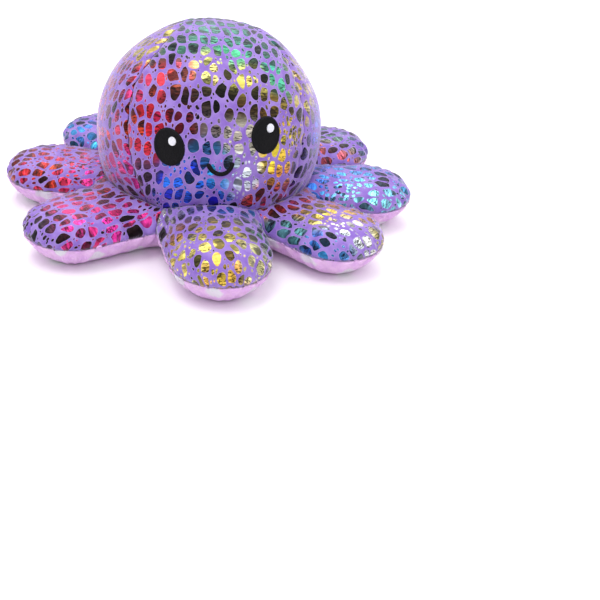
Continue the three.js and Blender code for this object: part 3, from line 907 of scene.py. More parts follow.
def sector_piece(name, arm, points, triangles, flat):
    """One arm's share of the skirt as a piece of its own, and where its points lie on the flat
    outline, across and along the arm."""
    before, after = arm_bounds(arm)
    own = arm_azimuths[arm]
    turn = turn_from(own, azimuths_of(flat[triangles].mean(axis=1)))
    chosen = triangles[(turn > -before) & (turn < after)]
    used, compact = np.unique(chosen, return_inverse=True)
    piece = mesh_object(name, points[used], compact.reshape(chosen.shape))
    return piece, flat[used] @ np.array([sideward(own)[:2], outward(own)[:2]]).T


def unrolled(places, height_at):
    """Lays places on one arm, across and along it, out flat: away from the arm's ridge they move
    on by the run of the fabric. height_at gives its height at a distance in from the seam."""
    ridge = np.column_stack([0 * places[:, 0], np.minimum(places[:, 1], ARM_REACH - TIP_RADIUS)])
    away = places - ridge
    reach = np.linalg.norm(away, axis=1)
    steps = np.linspace(0, WIDEST_REACH, UNROLL_STEPS)
    heights = height_at(np.clip(TIP_RADIUS - steps, 0, TIP_RADIUS))
    runs = np.concatenate([[0], np.cumsum(np.hypot(np.diff(steps), np.diff(heights)))])
    return ridge + away * (np.interp(reach, steps, runs) / np.maximum(reach, FABRIC))[:, None]


def arm_tints(name, places):
    out_share = (places[:, 1] - ZONE_START) / (ARM_REACH - ZONE_START)
    side_share = places[:, 0] / TIP_RADIUS

    def distance_to(zone):
        return np.hypot((out_share - zone[0]) / zone[2], (side_share - zone[1]) / zone[2] / SIDE_STRETCH)
    return foil_tints(distance_to, ARM_ZONE_SHARES[name].values(), FINE_ARM_SHARES.get(name, []))


def arm_filling(name, arm_rise):
    """The loose filling of one arm, a plain cushion inside its covers."""
    azimuth = arm_azimuths[name]
    half = TIP_RADIUS - ARM_FILLING_INSET
    middle = (ARM_FILLING_START + ARM_REACH - ARM_FILLING_INSET) / 2
    angle = np.arange(ARM_FILLING_POINTS)[:, None] * math.tau / ARM_FILLING_POINTS

    def ring(share, rise):
        out = middle + (middle - ARM_FILLING_START) * share * np.cos(angle)
        side = half * share * np.sin(angle)
        height = SEAM_HEIGHT + pillow(1 - share) * rise
        return out * outward(azimuth) + side * sideward(azimuth) + np.array([0, 0, height])

    shares = np.arange(ARM_FILLING_RINGS + 1) / ARM_FILLING_RINGS
    rings = [ring(share, arm_rise - ARM_FILLING_INSET) for share in shares]
    rings += [ring(share, ARM_FILLING_INSET - SEAM_HEIGHT) for share in shares[-2::-1]]
    return stack_mesh(f"arm_{name}_filling", rings)


def make_arms():
    points, upper, lower, flat = make_skirt()
    for index, name in enumerate(arm_names):
        body = f"arm_{name}"
        rise = FRONT_ARM_RISE if name == "front" else ARM_RISE
        top, places = sector_piece(f"{body}_top", name, points, upper, flat)
        laid_out = unrolled(places, lambda inset: rise * pillow(inset / TIP_RADIUS))
        store_places(top, laid_out, (ARM_PATTERN_STEP * (index + 1), 0))
        store_tints(top, arm_tints(name, places))
        thicken(top, FABRIC)
        finish_piece(top, "foil_fabric", f"{body}_top_cover", body)
        under, places = sector_piece(f"{body}_underside", name, points, lower, flat)
        dot = np.array(DOT_PLACES.get(name, (0, 0)))
        store_places(under, unrolled(places, underside_level), -dot)
        thicken(under, THIN_FABRIC)
        finish_piece(under, "spotted_plush", f"{body}_bottom_cover", body)
        filling = arm_filling(name, rise)
        finish_piece(filling, "fiberfill", f"{body}_stuffing", body)


# Head

crown_axis = np.array([0, math.sin(math.radians(CROWN_TILT)), math.cos(math.radians(CROWN_TILT))])
front_axis = np.array([0, -crown_axis[2], crown_axis[1]])
right_axis = np.array([1.0, 0, 0])


def head_direction(polar, turn):
    """The direction from the head's centre at a polar angle from the crown and a turn round it."""
    polar, turn = np.radians(polar), np.radians(turn)
    outer = np.cos(turn)[..., None] * front_axis + np.sin(turn)[..., None] * right_axis
    return np.cos(polar)[..., None] * crown_axis + np.sin(polar)[..., None] * outer


def bottom_polar(turn):
    """The polar angle at which the head comes down to its crease."""
    outer = np.cos(np.radians(turn)) * crown_axis[1]
    level = (CREASE_HEIGHT - HEAD_CENTRE[2]) / HEAD_RADIUS / np.hypot(crown_axis[2], outer)
    return np.degrees(np.arctan2(outer, crown_axis[2]) + np.arccos(level))


def seam_bow(polar):
    """How many degrees the seam left of the face bows away from it."""
    share = np.clip((polar - SEAM_BOW_START) / (SEAM_BOW_END - SEAM_BOW_START), 0, 1)
    return SEAM_BOW * share * share * (3 - 2 * share)


def seam_turn(number, polar):
    """The turn round the crown at which the seam after a panel lies."""
    turn = HEAD_TURN + HALF_PANEL * (2 * number + 1)
    return turn - seam_bow(polar) if PANELS[number] == "left" else turn + 0 * polar


def straight_turn(polar, turn):
    """The turn that a place would have if the seam left of the face ran straight."""
    bow = seam_bow(polar)
    off_seam = turn_from(HEAD_TURN - HALF_PANEL - bow, turn)
    return turn + bow * np.clip(1 - np.abs(off_seam) / HALF_PANEL, 0, 1)


def head_relief(polar, turn, height):
    """How far the stuffed fabric stands above the plain ball: seams, puckers, dimple, gathers."""
    panel_turn = (straight_turn(polar, turn) - HEAD_TURN + HALF_PANEL) % (2 * HALF_PANEL) - HALF_PANEL
    from_seam = HEAD_RADIUS * np.sin(np.radians(polar)) * np.radians(HALF_PANEL - np.abs(panel_turn))
    along = HEAD_RADIUS * np.radians(polar)
    groove = -SEAM_DEPTH * np.exp(-(from_seam / SEAM_WIDTH) ** 2)
    groove -= SEAM_CURL * np.exp(-(from_seam / SEAM_CURL_WIDTH) ** 2)
    wander = np.sign(panel_turn) * PUCKER_LAG + PUCKER_WANDER * np.sin(along / PUCKER_LENGTH)
    wave = np.cos(math.tau * along / PUCKER_LENGTH + wander)
    pucker = PUCKER_HEIGHT * wave * np.exp(-from_seam / PUCKER_REACH)
    dimple = -CROWN_DIMPLE * np.exp(-(along / CROWN_DIMPLE_REACH) ** 2)
    above = np.maximum(height - CREASE_HEIGHT, 0)
    gather = GATHER_HEIGHT * np.cos(np.radians(turn * GATHERS)) * np.exp(-above / GATHER_REACH)
    return groove + pucker + dimple + gather


def head_points(polar, turn):
    """Points on the head's fabric, with its soft lumps."""
    direction = head_direction(polar, turn)
    relief = head_relief(polar, turn, HEAD_CENTRE[2] + HEAD_RADIUS * direction[..., 2])
    lumps = np.array([
        noise.noise(Vector(d) * (HEAD_RADIUS / LUMP_SIZE)) for d in direction.reshape(-1, 3)
    ]).reshape(relief.shape)
    return HEAD_CENTRE + direction * (HEAD_RADIUS + relief + LUMP_HEIGHT * lumps)[..., None]


def zone_point(zone):
    azimuth, height = zone[0], zone[1] * MM
    level = math.sqrt(max(HEAD_RADIUS ** 2 - (height - HEAD_CENTRE[2]) ** 2, 0))
    return point_at(azimuth, level, height)


def head_panel(index, side):
    middle = HEAD_TURN + 2 * HALF_PANEL * index
    across = np.linspace(-1, 1, PANEL_COLUMNS)[None, :]
    across = np.sign(across) * (1 - (1 - np.abs(across)) ** COLUMN_CROWDING)
    down = np.linspace(0, 1, HEAD_ROWS)[:, None]
    polar = FIRST_POLAR + (bottom_polar(middle + HALF_PANEL * across) - FIRST_POLAR) * down
    gap = np.degrees(SEAM_GAP / (HEAD_RADIUS * np.sin(np.radians(polar))))
    first, last = seam_turn(index - 1, polar) + gap, seam_turn(index, polar) - gap
    first, last = (turn + 360 * round((middle - turn.mean()) / 360) for turn in (first, last))
    turn = first + (last - first) * (across + 1) / 2
    points = head_points(polar, turn).reshape(-1, 3)
    piece = mesh_object(f"head_{side}", points, grid_faces(HEAD_ROWS, PANEL_COLUMNS))
    reach = HEAD_RADIUS * np.sin(np.radians(polar)) * np.radians(turn - middle)
    places = np.stack([reach, HEAD_RADIUS * np.radians(polar)], axis=-1)
    store_places(piece, places, (HEAD_PATTERN_START + HEAD_PATTERN_STEP * index, 0))

    def distance_to(zone):
        return np.linalg.norm(points - zone_point(zone), axis=1) / (zone[2] * MM)
    store_tints(piece, foil_tints(distance_to, HEAD_ZONES.values(), FINE_HEAD_ZONES))
    thicken(piece, FABRIC)
    finish_piece(piece, "foil_fabric", f"head_cover_{side}")


# Pocket, ring and the head's filling

def pocket_profile(outset):
    """[radius, height] pairs up the pocket's wall, from its mouth to its top."""
    pairs = []
    for i in range(POCKET_STEPS):
        height = MOUTH_HEIGHT + (POCKET_WIDEST_HEIGHT - MOUTH_HEIGHT) * i / POCKET_STEPS
        down = (POCKET_WIDEST_HEIGHT - height) / (POCKET_WIDEST_HEIGHT - MOUTH_HEIGHT)
        pairs.append((POCKET_RADIUS + outset - MOUTH_DRAW_IN * down ** 2, height))
    for lift in np.linspace(0, math.acos(FABRIC / POCKET_RADIUS), 2 * POCKET_STEPS + 1):
        height = POCKET_WIDEST_HEIGHT + (POCKET_RISE + outset) * math.sin(lift)
        pairs.append(((POCKET_RADIUS + outset) * math.cos(lift), height))
    return pairs


def pocket_panel(index, side):
    middle = HEAD_TURN + 2 * HALF_PANEL * index
    profile = pocket_profile(0)
    points, places = [], []
    length = 0
    for (radius, height), before in zip(profile, [profile[0], *profile]):
        length += math.dist((radius, height), before)
        half = HALF_PANEL - math.degrees(SEAM_GAP / radius)
        for turn in np.linspace(middle - half, middle + half, POCKET_COLUMNS):
            point = point_at(turn, radius, height)
            from_seam = math.radians(HALF_PANEL - abs(turn - middle)) * radius
            groove = SEAM_DEPTH * math.exp(-(from_seam / SEAM_WIDTH) ** 2)
            lump = POCKET_LUMP * noise.noise(Vector(point) / LUMP_SIZE)
            points.append(point + outward(turn) * (groove + lump))
            places.append((math.radians(turn - middle) * radius, length))
    faces = [face[::-1] for face in grid_faces(len(profile), POCKET_COLUMNS)]
    piece = mesh_object(f"pocket_{side}", points, faces)
    store_places(piece, places, (POCKET_PATTERN_STEP * index, 0))
    thicken(piece, FABRIC)
    finish_piece(piece, "spotted_plush", f"pocket_lining_{side}")


def make_ring():
    """The ring that the arms hang on: plush below, foil above and filling between."""
    inner = [(radius - RING_TUCK, height + FABRIC) for radius, height in RING_FOOT[::-1]]
    underside = turned_mesh("ring_underside", [*RING_FOOT, *inner])
    store_places(underside, [vertex.co[:2] for vertex in underside.data.vertices])
    finish_piece(underside, "spotted_plush", "ring_bottom_cover")
    band = turned_mesh("ring_band", RING_BAND)
    store_places(band, [vertex.co[:2] for vertex in band.data.vertices])
    store_tints(band, [colour(*RING_COLOUR)] * len(band.data.vertices))
    finish_piece(band, "foil_fabric", "ring_top_cover")
    filling = turned_mesh("ring_filling", RING_FILLING)
    finish_piece(filling, "fiberfill", "ring_stuffing")


def make_head_filling():
    radius = HEAD_RADIUS - HEAD_FILLING_INSET
    start = math.asin((HEAD_FILLING_LOW - HEAD_CENTRE[2]) / radius)
    outside = [
        (radius * math.cos(lift), HEAD_CENTRE[2] + radius * math.sin(lift))
        for lift in np.linspace(start, HEAD_FILLING_END, HEAD_FILLING_STEPS)
    ]
    inside = [pair for pair in pocket_profile(POCKET_CLEARANCE) if pair[1] > HEAD_FILLING_LOW]
    filling = turned_mesh("head_filling", outside + inside[::-1])
    finish_piece(filling, "fiberfill", "head_stuffing")


# Embroidery: each face has a flat frame that a function lays on its fabric

def on_smiling_face(side, up, stand_off):
    tilt = math.radians(FACE_TILT)
    across = side * math.cos(tilt) - up * math.sin(tilt)
    along = side * math.sin(tilt) + up * math.cos(tilt)
    lift = math.asin((FACE_HEIGHT - HEAD_CENTRE[2]) / HEAD_RADIUS) + along / HEAD_RADIUS
    turn = math.radians(FACE_AZIMUTH) + across / (HEAD_RADIUS * np.cos(lift))
    level = np.cos(lift)
    direction = np.stack([np.sin(turn) * level, -np.cos(turn) * level, np.sin(lift)], axis=-1)
    polar = np.degrees(np.arccos(np.clip(direction @ crown_axis, -1, 1)))
    turn = np.degrees(np.arctan2(direction @ right_axis, direction @ front_axis))
    return head_points(polar, turn) + direction * stand_off[..., None]


def on_cross_face(side, up, stand_off):
    lift = math.asin(CROSS_RISE / POCKET_RISE) + up / POCKET_RISE
    turn = math.radians(HEAD_TURN) - side / (POCKET_RADIUS * np.cos(lift))
    radius = (POCKET_RADIUS - stand_off) * np.cos(lift)
    height = POCKET_WIDEST_HEIGHT + (POCKET_RISE - stand_off) * np.sin(lift)
    return np.stack([np.sin(turn) * radius, -np.cos(turn) * radius, height], axis=-1)


def patch_height(share):
    """The height of a stitched patch at a share of the way out: a low dome with a raised rim."""
    dome = PATCH_EDGE_SHARE + PATCH_DOME_SHARE * (1 - share ** 2)
    rounding = np.clip(share - 1 + PATCH_ROUND_SHARE, 0, 1) / PATCH_ROUND_SHARE
    rim = RIM_RISE * np.exp(-((share - RIM_PLACE_SHARE) / RIM_WIDTH_SHARE) ** 2)
    return (THREAD_RISE * dome + rim) * np.sqrt(np.clip(1 - rounding ** 2, 0, 1))


def stitched_patch(name, place, size, middle, foot):
    """A filled oval of thread, closed behind. Its rings lie closer together towards the rim."""
    angle = np.arange(PATCH_POINTS) * math.tau / PATCH_POINTS
    shares = 1 - (np.arange(PATCH_RINGS, -1, -1) / PATCH_RINGS) ** PATCH_CROWDING
    all_shares = np.concatenate([shares, shares[::-1]])[:, None]
    heights = np.concatenate([patch_height(shares), np.full(len(shares), -PATCH_FOOT)])[:, None]
    side = middle[0] + all_shares * size[0] / 2 * np.cos(angle)
    up = middle[1] + all_shares * size[1] / 2 * np.sin(angle)
    piece = stack_mesh(name, place(side, up, foot + heights + 0 * side))
    store_places(piece, stack_points(np.stack([side, up], axis=-1)))
    return piece


def stitched_line(name, place, line, foot):
    """A raised satin line along [side, up] points, with round ends."""
    line = np.array(line)
    runs = np.gradient(line, axis=0)
    runs /= np.linalg.norm(runs, axis=1, keepdims=True)
    length = np.concatenate([[0], np.cumsum(np.linalg.norm(np.diff(line, axis=0), axis=1))])
    radius = THREAD_LINE / 2
    from_end = np.clip(np.minimum(length, length[-1] - length) / radius, 0, 1)
    half = radius * np.sqrt(np.clip(1 - (1 - from_end) ** 2, LINE_END_SHARE, 1))[:, None]
    angle = -np.arange(LINE_POINTS) * math.tau / LINE_POINTS
    offset = half * np.cos(angle)
    side = line[:, :1] - runs[:, 1:] * offset
    up = line[:, 1:] + runs[:, :1] * offset
    points = place(side, up, foot + THREAD_RISE * np.sin(angle) * half / radius).reshape(-1, 3)
    faces = grid_faces(len(line), LINE_POINTS, False, True)
    faces += [range(LINE_POINTS), range(len(points) - 1, len(points) - LINE_POINTS - 1, -1)]
    piece = mesh_object(name, points, faces)
    store_places(piece, np.stack([length[:, None] + 0 * offset, offset], axis=-1))
    return piece


def bow(width, depth, drop, turn=0):
    """A bow that hangs below the eyes and may turn a little, as [side, up] points."""
    end = math.radians(BOW_TURN)
    points = []
    for i in range(LINE_STEPS + 1):
        angle = end * (2 * i / LINE_STEPS - 1)
        hang = (math.cos(angle) - math.cos(end)) / (1 - math.cos(end))
        side = width * math.sin(angle) / math.sin(end) / 2
        points.append((side, -drop - depth * hang + side * math.tan(math.radians(turn))))
    return points


def brow(sign):
    """A brow, low at its inner end and level at its outer end."""
    points = []
    for i in range(LINE_STEPS + 1):
        share = i / LINE_STEPS
        out = CROSS_EYE_SPACING / 2 - BROW_SHIFT + BROW_LENGTH * (share - 0.5)
        points.append((sign * out, BROW_LIFT + BROW_RISE * math.sin(share * math.pi / 2)))
    return points if sign > 0 else points[::-1]


def make_eye(name, node, place, size, across, glint_place):
    eye = stitched_patch(name, place, size, (across, 0), 0)
    finish_piece(eye, "black_thread", node)
    glint_middle = (across + glint_place[0], glint_place[1])
    glint = stitched_patch(f"{name}_glint", place, GLINT_SIZE, glint_middle, GLINT_FOOT)
    finish_piece(glint, "white_thread", f"{node}_glint")


def make_line(name, node, place, line, foot=0):
    piece = stitched_line(name, place, line, foot)
    finish_piece(piece, "black_thread", node)


def make_faces():
    for side, sign in (("left", -1), ("right", 1)):
        across = sign * EYE_SPACING / 2
        make_eye(f"happy_eye_{side}", f"eye_{side}", on_smiling_face, EYE_SIZE, across, GLINT_PLACE)
        across = sign * CROSS_EYE_SPACING / 2
        glint_place = (-sign * CROSS_GLINT_PLACE[0], CROSS_GLINT_PLACE[1])
        make_eye(
            f"cross_eye_{side}", f"pocket_eye_{side}", on_cross_face, CROSS_EYE_SIZE, across, glint_place
        )
        make_line(f"cross_brow_{side}", f"pocket_brow_{side}", on_cross_face, brow(sign), THREAD_RISE)
    smile = bow(SMILE_WIDTH, SMILE_DEPTH, SMILE_DROP, SMILE_TURN)
    make_line("happy_smile", "smile", on_smiling_face, smile)
    frown = bow(FROWN_WIDTH, -FROWN_DEPTH, FROWN_DROP)
    make_line("cross_frown", "pocket_frown", on_cross_face, frown)


# Materials

class Shading:
    """The nodes of a material or a world, written as formulas. Lengths on the fabric are in mm."""

    def __init__(self, owner, surface="Principled BSDF"):
        self.owner = owner
        owner.use_nodes = True
        self.tree = owner.node_tree
        self.surface = self.tree.nodes[surface]

    def feed(self, node, inputs):
        """Sets inputs of a node to plain values, or joins them to other nodes."""
        for key, value in inputs.items():
            if isinstance(value, bpy.types.NodeSocket):
                self.tree.links.new(value, node.inputs[key])
            else:
                node.inputs[key].default_value = value

    def node(self, kind, inputs=None, **settings):
        made = self.tree.nodes.new("ShaderNode" + kind)
        for key, value in settings.items():
            setattr(made, key, value)
        self.feed(made, inputs or {})
        return made

    def maths(self, operation, *values, clamp=False):
        made = self.node("Math", dict(enumerate(values)), operation=operation, use_clamp=clamp)
        return made.outputs[0]

    def ramp(self, value, low, high, start=0.0, end=1.0):
        """A smooth step from start to end while value goes from low to high."""
        inputs = {"Value": value, "From Min": low, "From Max": high, "To Min": start, "To Max": end}
        return self.node("MapRange", inputs, interpolation_type="SMOOTHSTEP").outputs["Result"]

    def mix(self, share, first, second):
        """A mix of two colours."""
        return self.node("Mix", {0: share, 6: first, 7: second}, data_type="RGBA").outputs[2]

    def mix_value(self, share, first, second):
        return self.node("Mix", {0: share, 2: first, 3: second}).outputs[0]

    def stored(self, name):
        return self.node("Attribute", attribute_name=name, attribute_type="GEOMETRY").outputs

    def place(self):
        return self.stored("fabric_place")["Vector"]

    def scaled(self, vector, scale, shift=(0, 0, 0)):
        made = self.node("Mapping", {"Vector": vector, "Scale": scale, "Location": shift})
        return made.outputs["Vector"]

    def moved(self, vector, direction, size):
        """A place moved along a direction by a size that may differ along each axis."""
        inputs = {0: direction, 1: size, 2: vector}
        return self.node("VectorMath", inputs, operation="MULTIPLY_ADD").outputs[0]

    def noise(self, vector, scale=1.0, detail=2.0, roughness=0.5, output=0):
        inputs = {"Vector": vector, "Scale": scale, "Detail": detail, "Roughness": roughness}
        return self.node("TexNoise", inputs, noise_dimensions="2D").outputs[output]

    def cells(self, vector, randomness, feature="F1"):
        inputs = {"Vector": vector, "Scale": 1.0, "Randomness": randomness}
        return self.node("TexVoronoi", inputs, voronoi_dimensions="2D", feature=feature).outputs

    def rolls(self, dice):
        """Three random numbers from the colour of a cell."""
        return self.node("SeparateColor", {"Color": dice}).outputs

    def finish(self, inputs, relief=None):
        """Feeds the surface. The relief is in mm."""
        if relief is not None:
            bump = self.node("Bump", {"Height": relief, "Distance": MM})
            inputs = {**inputs, "Normal": bump.outputs["Normal"]}
        self.feed(self.surface, inputs)
        return self.owner


def sheen(weight, roughness, tint):
    """The soft glow that short fibres give a surface."""
    return {"Sheen Weight": weight, "Sheen Roughness": roughness, "Sheen Tint": colour(*tint)}


def big_pebbles(s, place, fine):
    """How far each place, in cells, lies inside a big pebble, and the colour dice of its cell."""
    first = s.cells(place, BIG_SCATTER)
    second = s.cells(place, BIG_SCATTER, "F2")
    reach = s.maths("MULTIPLY_ADD", s.rolls(first["Color"])[0], REACH_SPREAD, LEAST_REACH)
    reach = s.maths("MULTIPLY_ADD", fine, -FINE_LOSS, reach)
    oval = s.maths("SUBTRACT", reach, first["Distance"])
    apart = s.maths("MULTIPLY_ADD", second["Distance"], NEIGHBOUR_SHARE, -NEIGHBOUR_GAP)
    apart = s.maths("SUBTRACT", apart, first["Distance"])
    return s.maths("SMOOTH_MIN", oval, apart, ROUNDING), first["Color"]


def small_pebbles(s, place, fine):
    """The same for the small pebbles, which fill the room between the big ones."""
    cells = s.cells(s.scaled(place, (1 / SMALL_SHARE,) * 3, SMALL_SHIFT), SMALL_SCATTER)
    back = tuple(-SMALL_SHARE * value for value in SMALL_SHIFT)
    centre = s.scaled(cells["Position"], (SMALL_SHARE,) * 3, back)
    outside, _ = big_pebbles(s, centre, fine)
    room = s.maths("MULTIPLY_ADD", outside, -SMALL_ROOM_SHARE, -SMALL_GAP)
    most = s.maths("MULTIPLY_ADD", fine, FINE_GAIN, SMALL_REACH)
    most = s.maths("MULTIPLY_ADD", s.rolls(cells["Color"])[0], SMALL_SPREAD, most)
    reach = s.maths("MINIMUM", room, most)
    shape = s.maths("SUBTRACT", reach, s.maths("MULTIPLY", cells["Distance"], SMALL_SHARE))
    hidden = s.maths("SUBTRACT", s.maths("GREATER_THAN", reach, LEAST_SMALL), 1.0)
    return s.maths("ADD", shape, hidden), cells["Color"]


def painted_foil_light(s, rolls, streaks, halves):
    """How bright the foil is painted, as painted reflection: each pebble has its own painted brightness,
    some are creased with painted shade along the creases, and some are painted half in shade."""
    # Painted reflection: each pebble's own brightness stands for the bright or dark surroundings it
    # mirrors.
    pebble_painted_shine = s.node("ValToRGB", {"Fac": rolls[1]})
    stops = pebble_painted_shine.color_ramp.elements
    stops[0].color = (LEAST_PAINTED_SHINE, LEAST_PAINTED_SHINE, LEAST_PAINTED_SHINE, 1)
    for position, level in FOIL_PAINTED_SHINES:
        stops.new(position).color = (level, level, level, 1)
    # Painted shade along the creases of some pebbles.
    crease = s.ramp(s.maths("ABSOLUTE", s.maths("SUBTRACT", streaks, 0.5)), *PAINTED_CREASE_STEP)
    crease = s.maths("MULTIPLY", crease, s.ramp(rolls[2], *PAINTED_CREASED_STEP))
    crease = s.maths("SUBTRACT", 1.0, s.maths("MULTIPLY", crease, CREASE_PAINTED_SHADE))
    # Painted highlight: the glimmer of the crinkles.
    level = s.maths("MULTIPLY", pebble_painted_shine.outputs["Color"], s.ramp(streaks, *PAINTED_GLIMMER_STEP))
    level = s.maths("MULTIPLY", level, crease)
    # Painted shade over half of some pebbles.
    shade = s.mix_value(s.ramp(rolls[0], *SHADED_STEP), 1.0, s.ramp(halves, *SHADE_STEP))
    return s.maths("MULTIPLY", level, shade)


def make_foil_fabric():
    """Stretchy lavender fabric printed with oval pebbles of crinkled foil."""
    s = Shading(bpy.data.materials.new("foil_fabric"))
    place = s.place()
    tint = s.stored("foil_tint")
    fine = s.maths("SUBTRACT", 1.0, tint["Alpha"], clamp=True)
    warp = s.noise(place, WARP_SCALE, detail=1.0, output="Color")
    bent = s.moved(place, warp, (WARP, WARP, WARP))
    bent = s.scaled(bent, (1 / PEBBLE_SIZE[0], 1 / PEBBLE_SIZE[1], 1))
    big_shape, big_dice = big_pebbles(s, bent, fine)
    small_shape, small_dice = small_pebbles(s, bent, fine)
    shape = s.maths("MAXIMUM", big_shape, small_shape)
    foil = s.ramp(shape, *FOIL_STEP)
    # Painted highlight: the fabric just round each pebble is paled, for light caught at the foil's edges.
    edge_highlight = s.maths("SUBTRACT", s.ramp(shape, *EDGE_HIGHLIGHT_STEP), foil, clamp=True)

    dice = s.mix(s.maths("GREATER_THAN", big_shape, small_shape), small_dice, big_dice)
    rolls = s.rolls(dice)
    own_place = s.moved(place, dice, CRINKLE_SHIFT)
    streaks = s.noise(s.scaled(own_place, CRINKLE_SCALE), roughness=0.6)
    halves = s.noise(s.scaled(own_place, SHADE_SCALE), detail=0.0)
    hue = s.maths("MULTIPLY_ADD", rolls[0], HUE_SPREAD, LEAST_HUE)
    turned = s.node("HueSaturation", {"Hue": hue, "Color": tint["Color"]}).outputs["Color"]
    # The foil's colour is scaled by its painted reflection, painted highlights and painted shade.
    inputs = {0: turned, "Scale": painted_foil_light(s, rolls, streaks, halves)}
    foil_colour = s.node("VectorMath", inputs, operation="SCALE").outputs[0]

    lavender, pale_lavender = colour(*LAVENDER), colour(*PALE_LAVENDER)
    mottle = s.noise(place, MOTTLE_SCALE, detail=3.0)
    base = s.mix(s.ramp(mottle, *MOTTLE_STEP), lavender, pale_lavender)
    base = s.mix(s.maths("MULTIPLY", edge_highlight, EDGE_HIGHLIGHT_SHARE), base, pale_lavender)
    knit = s.noise(s.scaled(place, KNIT_SCALE), detail=1.0)
    relief = s.maths("MULTIPLY_ADD", foil, FOIL_RELIEF, s.maths("MULTIPLY", knit, KNIT_RELIEF))
    relief = s.maths("MULTIPLY_ADD", s.maths("MULTIPLY", streaks, foil), CRINKLE_RELIEF, relief)
    return s.finish({
        **sheen(*FABRIC_SHEEN),
        "Base Color": s.mix(foil, base, foil_colour),
        "Roughness": s.ramp(foil, *ROUGHNESS_STEP),
        "Metallic": s.maths("MULTIPLY", foil, FOIL_METAL),
    }, relief)


def make_spotted_plush():
    """Short pink plush with pale dots in staggered columns."""
    s = Shading(bpy.data.materials.new("spotted_plush"))
    place = s.place()
    parts = s.node("SeparateXYZ", {"Vector": place}).outputs
    column = s.maths("ROUND", s.maths("DIVIDE", parts[0], DOT_COLUMN))
    odd = s.maths("ABSOLUTE", s.maths("MODULO", column, 2.0))
    row = s.maths("MULTIPLY_ADD", odd, 0.5, s.maths("DIVIDE", parts[1], DOT_ROW))
    down = s.maths("MULTIPLY", s.maths("SUBTRACT", row, s.maths("ROUND", row)), DOT_ROW)
    across = s.maths("SUBTRACT", parts[0], s.maths("MULTIPLY", column, DOT_COLUMN))
    squares = [s.maths("MULTIPLY", run, run) for run in (down, across)]
    away = s.maths("SQRT", s.maths("ADD", *squares))
    away = s.maths("ADD", s.maths("SUBTRACT", s.noise(place, DOT_FUZZ_SCALE), 0.5), away)
    dot = s.ramp(away, DOT_RADIUS - DOT_EDGE, DOT_RADIUS + DOT_EDGE, 1.0, 0.0)
    nap = s.noise(place, NAP_SCALE, detail=3.0)
    pile = s.noise(s.scaled(place, PILE_SCALE), detail=3.0, roughness=0.7)
    base = s.mix(s.ramp(nap, *NAP_STEP), colour(*DEEP_PINK), colour(*PINK))
    base = s.mix(s.ramp(pile, *PILE_STEP), base, colour(*PILE_SHADE))
    base = s.mix(dot, base, colour(*DOT_WHITE))
    relief = s.maths("MULTIPLY", pile, PILE_RELIEF)
    return s.finish({**sheen(*PLUSH_SHEEN), "Base Color": base, "Roughness": 0.9}, relief)


def make_thread(name, shades):
    """Satin stitches: fine ribs side by side."""
    s = Shading(bpy.data.materials.new(name))
    place = s.place()
    parts = s.node("SeparateXYZ", {"Vector": place}).outputs
    wander = s.maths("MULTIPLY", s.noise(place, THREAD_WANDER_SCALE), THREAD_WANDER)
    turn = s.maths("MULTIPLY", s.maths("ADD", parts[0], wander), math.tau / THREAD_PITCH)
    rib = s.maths("SINE", turn)
    base = s.mix(s.ramp(rib, -1.0, 1.0), *[colour(*shade) for shade in shades])
    relief = s.maths("MULTIPLY", rib, THREAD_RELIEF)
    return s.finish({"Base Color": base, "Roughness": 0.5, "Specular IOR Level": 0.15}, relief)


def make_fiberfill():
    """Loose white fibre in small tufts."""
    s = Shading(bpy.data.materials.new("fiberfill"))
    own_place = s.node("TexCoord").outputs["Object"]
    tufts = s.noise(own_place, TUFT_SCALE, detail=4.0, roughness=0.7)
    base = s.mix(tufts, *[colour(*shade) for shade in FILLING_SHADES])
    return s.finish({"Base Color": base, "Roughness": 0.95, "Sheen Weight": 0.3}, tufts)


materials = {
    "foil_fabric": make_foil_fabric(),
    "spotted_plush": make_spotted_plush(),
    "black_thread": make_thread("black_thread", BLACK_SHADES),
    "white_thread": make_thread("white_thread", WHITE_SHADES),
    "fiberfill": make_fiberfill(),
}


# Stage: a pale floor, soft studio light and the camera

def make_world():
    """Soft light from a ceiling that is brighter than the room's far walls, and a white backdrop."""
    world = bpy.data.worlds.new("studio")
    bpy.context.scene.world = world
    s = Shading(world, "Background")
    rays = s.node("LightPath").outputs
    direction = s.node("TexCoord").outputs["Generated"]
    up = s.node("SeparateXYZ", {"Vector": direction}).outputs["Z"]
    room = {"Value": up, "From Max": CEILING_START, "To Min": WALL_LEVEL, "To Max": CEILING_LEVEL}
    level = s.node("MapRange", room).outputs["Result"]
    for ray in ("Is Transmission Ray", "Is Camera Ray"):
        level = s.mix_value(rays[ray], level, BACKDROP_LEVEL)
    s.finish({"Color": (1, 1, 1, 1), "Strength": level})


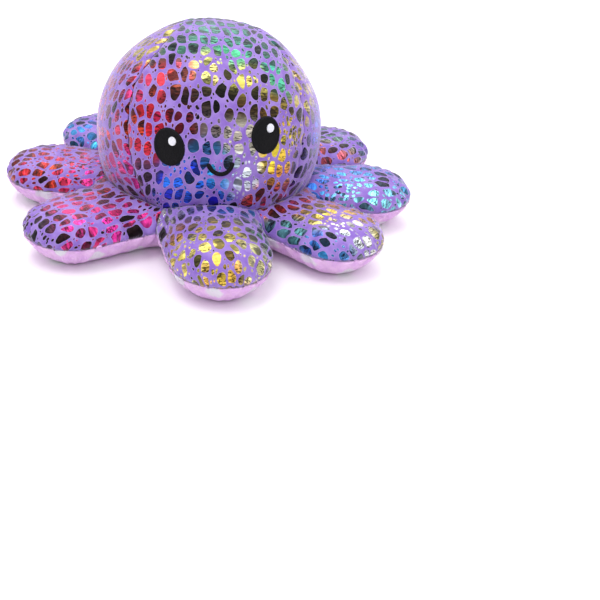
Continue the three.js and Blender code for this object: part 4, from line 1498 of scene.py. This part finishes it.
def make_floor():
    half = FLOOR_SIZE / 2
    corners = [(-half, -half, 0), (half, -half, 0), (half, half, 0), (-half, half, 0)]
    floor = mesh_object("floor", corners, [(0, 1, 2, 3)])
    paint = Shading(bpy.data.materials.new("floor"))
    floor.data.materials.append(paint.finish({"Base Color": colour(252, 252, 252), "Roughness": 0.9}))


def make_light(name, place, size, power):
    data = bpy.data.lights.new(name, "AREA")
    data.shape = "DISK"
    data.size = size
    data.energy = power
    lamp = bpy.data.objects.new(name, data)
    lamp.location = place
    lamp.rotation_mode = "QUATERNION"
    lamp.rotation_quaternion = (CAMERA_TARGET - lamp.location).to_track_quat("-Z", "Y")
    bpy.context.scene.collection.objects.link(lamp)


def make_camera():
    data = bpy.data.cameras.new("camera")
    data.lens = FOCAL_PIXELS / PICTURE_SIZE * data.sensor_width
    data.shift_x, data.shift_y = CAMERA_SHIFT_SHARES
    data.clip_start = CAMERA_CLIP
    camera = bpy.data.objects.new("camera", data)
    bpy.context.scene.collection.objects.link(camera)
    camera.location = CAMERA_PLACE
    sight = CAMERA_TARGET - CAMERA_PLACE
    right = TARGET_PIXEL[0] - PICTURE_SIZE / 2 + CAMERA_SHIFT_SHARES[0] * PICTURE_SIZE
    up = PICTURE_SIZE / 2 - TARGET_PIXEL[1] + CAMERA_SHIFT_SHARES[1] * PICTURE_SIZE
    seen = Vector((right, up, -FOCAL_PIXELS)).normalized()
    roll = Quaternion(sight, -math.radians(CAMERA_ROLL))
    camera.rotation_mode = "QUATERNION"
    camera.rotation_quaternion = (
        roll @ sight.to_track_quat("-Z", "Y") @ seen.rotation_difference(Vector((0, 0, -1)))
    )
    bpy.context.scene.camera = camera


make_arms()
for number, panel_side in enumerate(PANELS):
    head_panel(number, panel_side)
    pocket_panel(number, panel_side)
make_ring()
make_head_filling()
make_faces()
make_world()
make_floor()
for lamp_name, lamp_values in LAMPS.items():
    make_light(lamp_name, *lamp_values)
make_camera()

bpy.context.scene.view_settings.view_transform = "Standard"
bpy.context.view_layer.update()
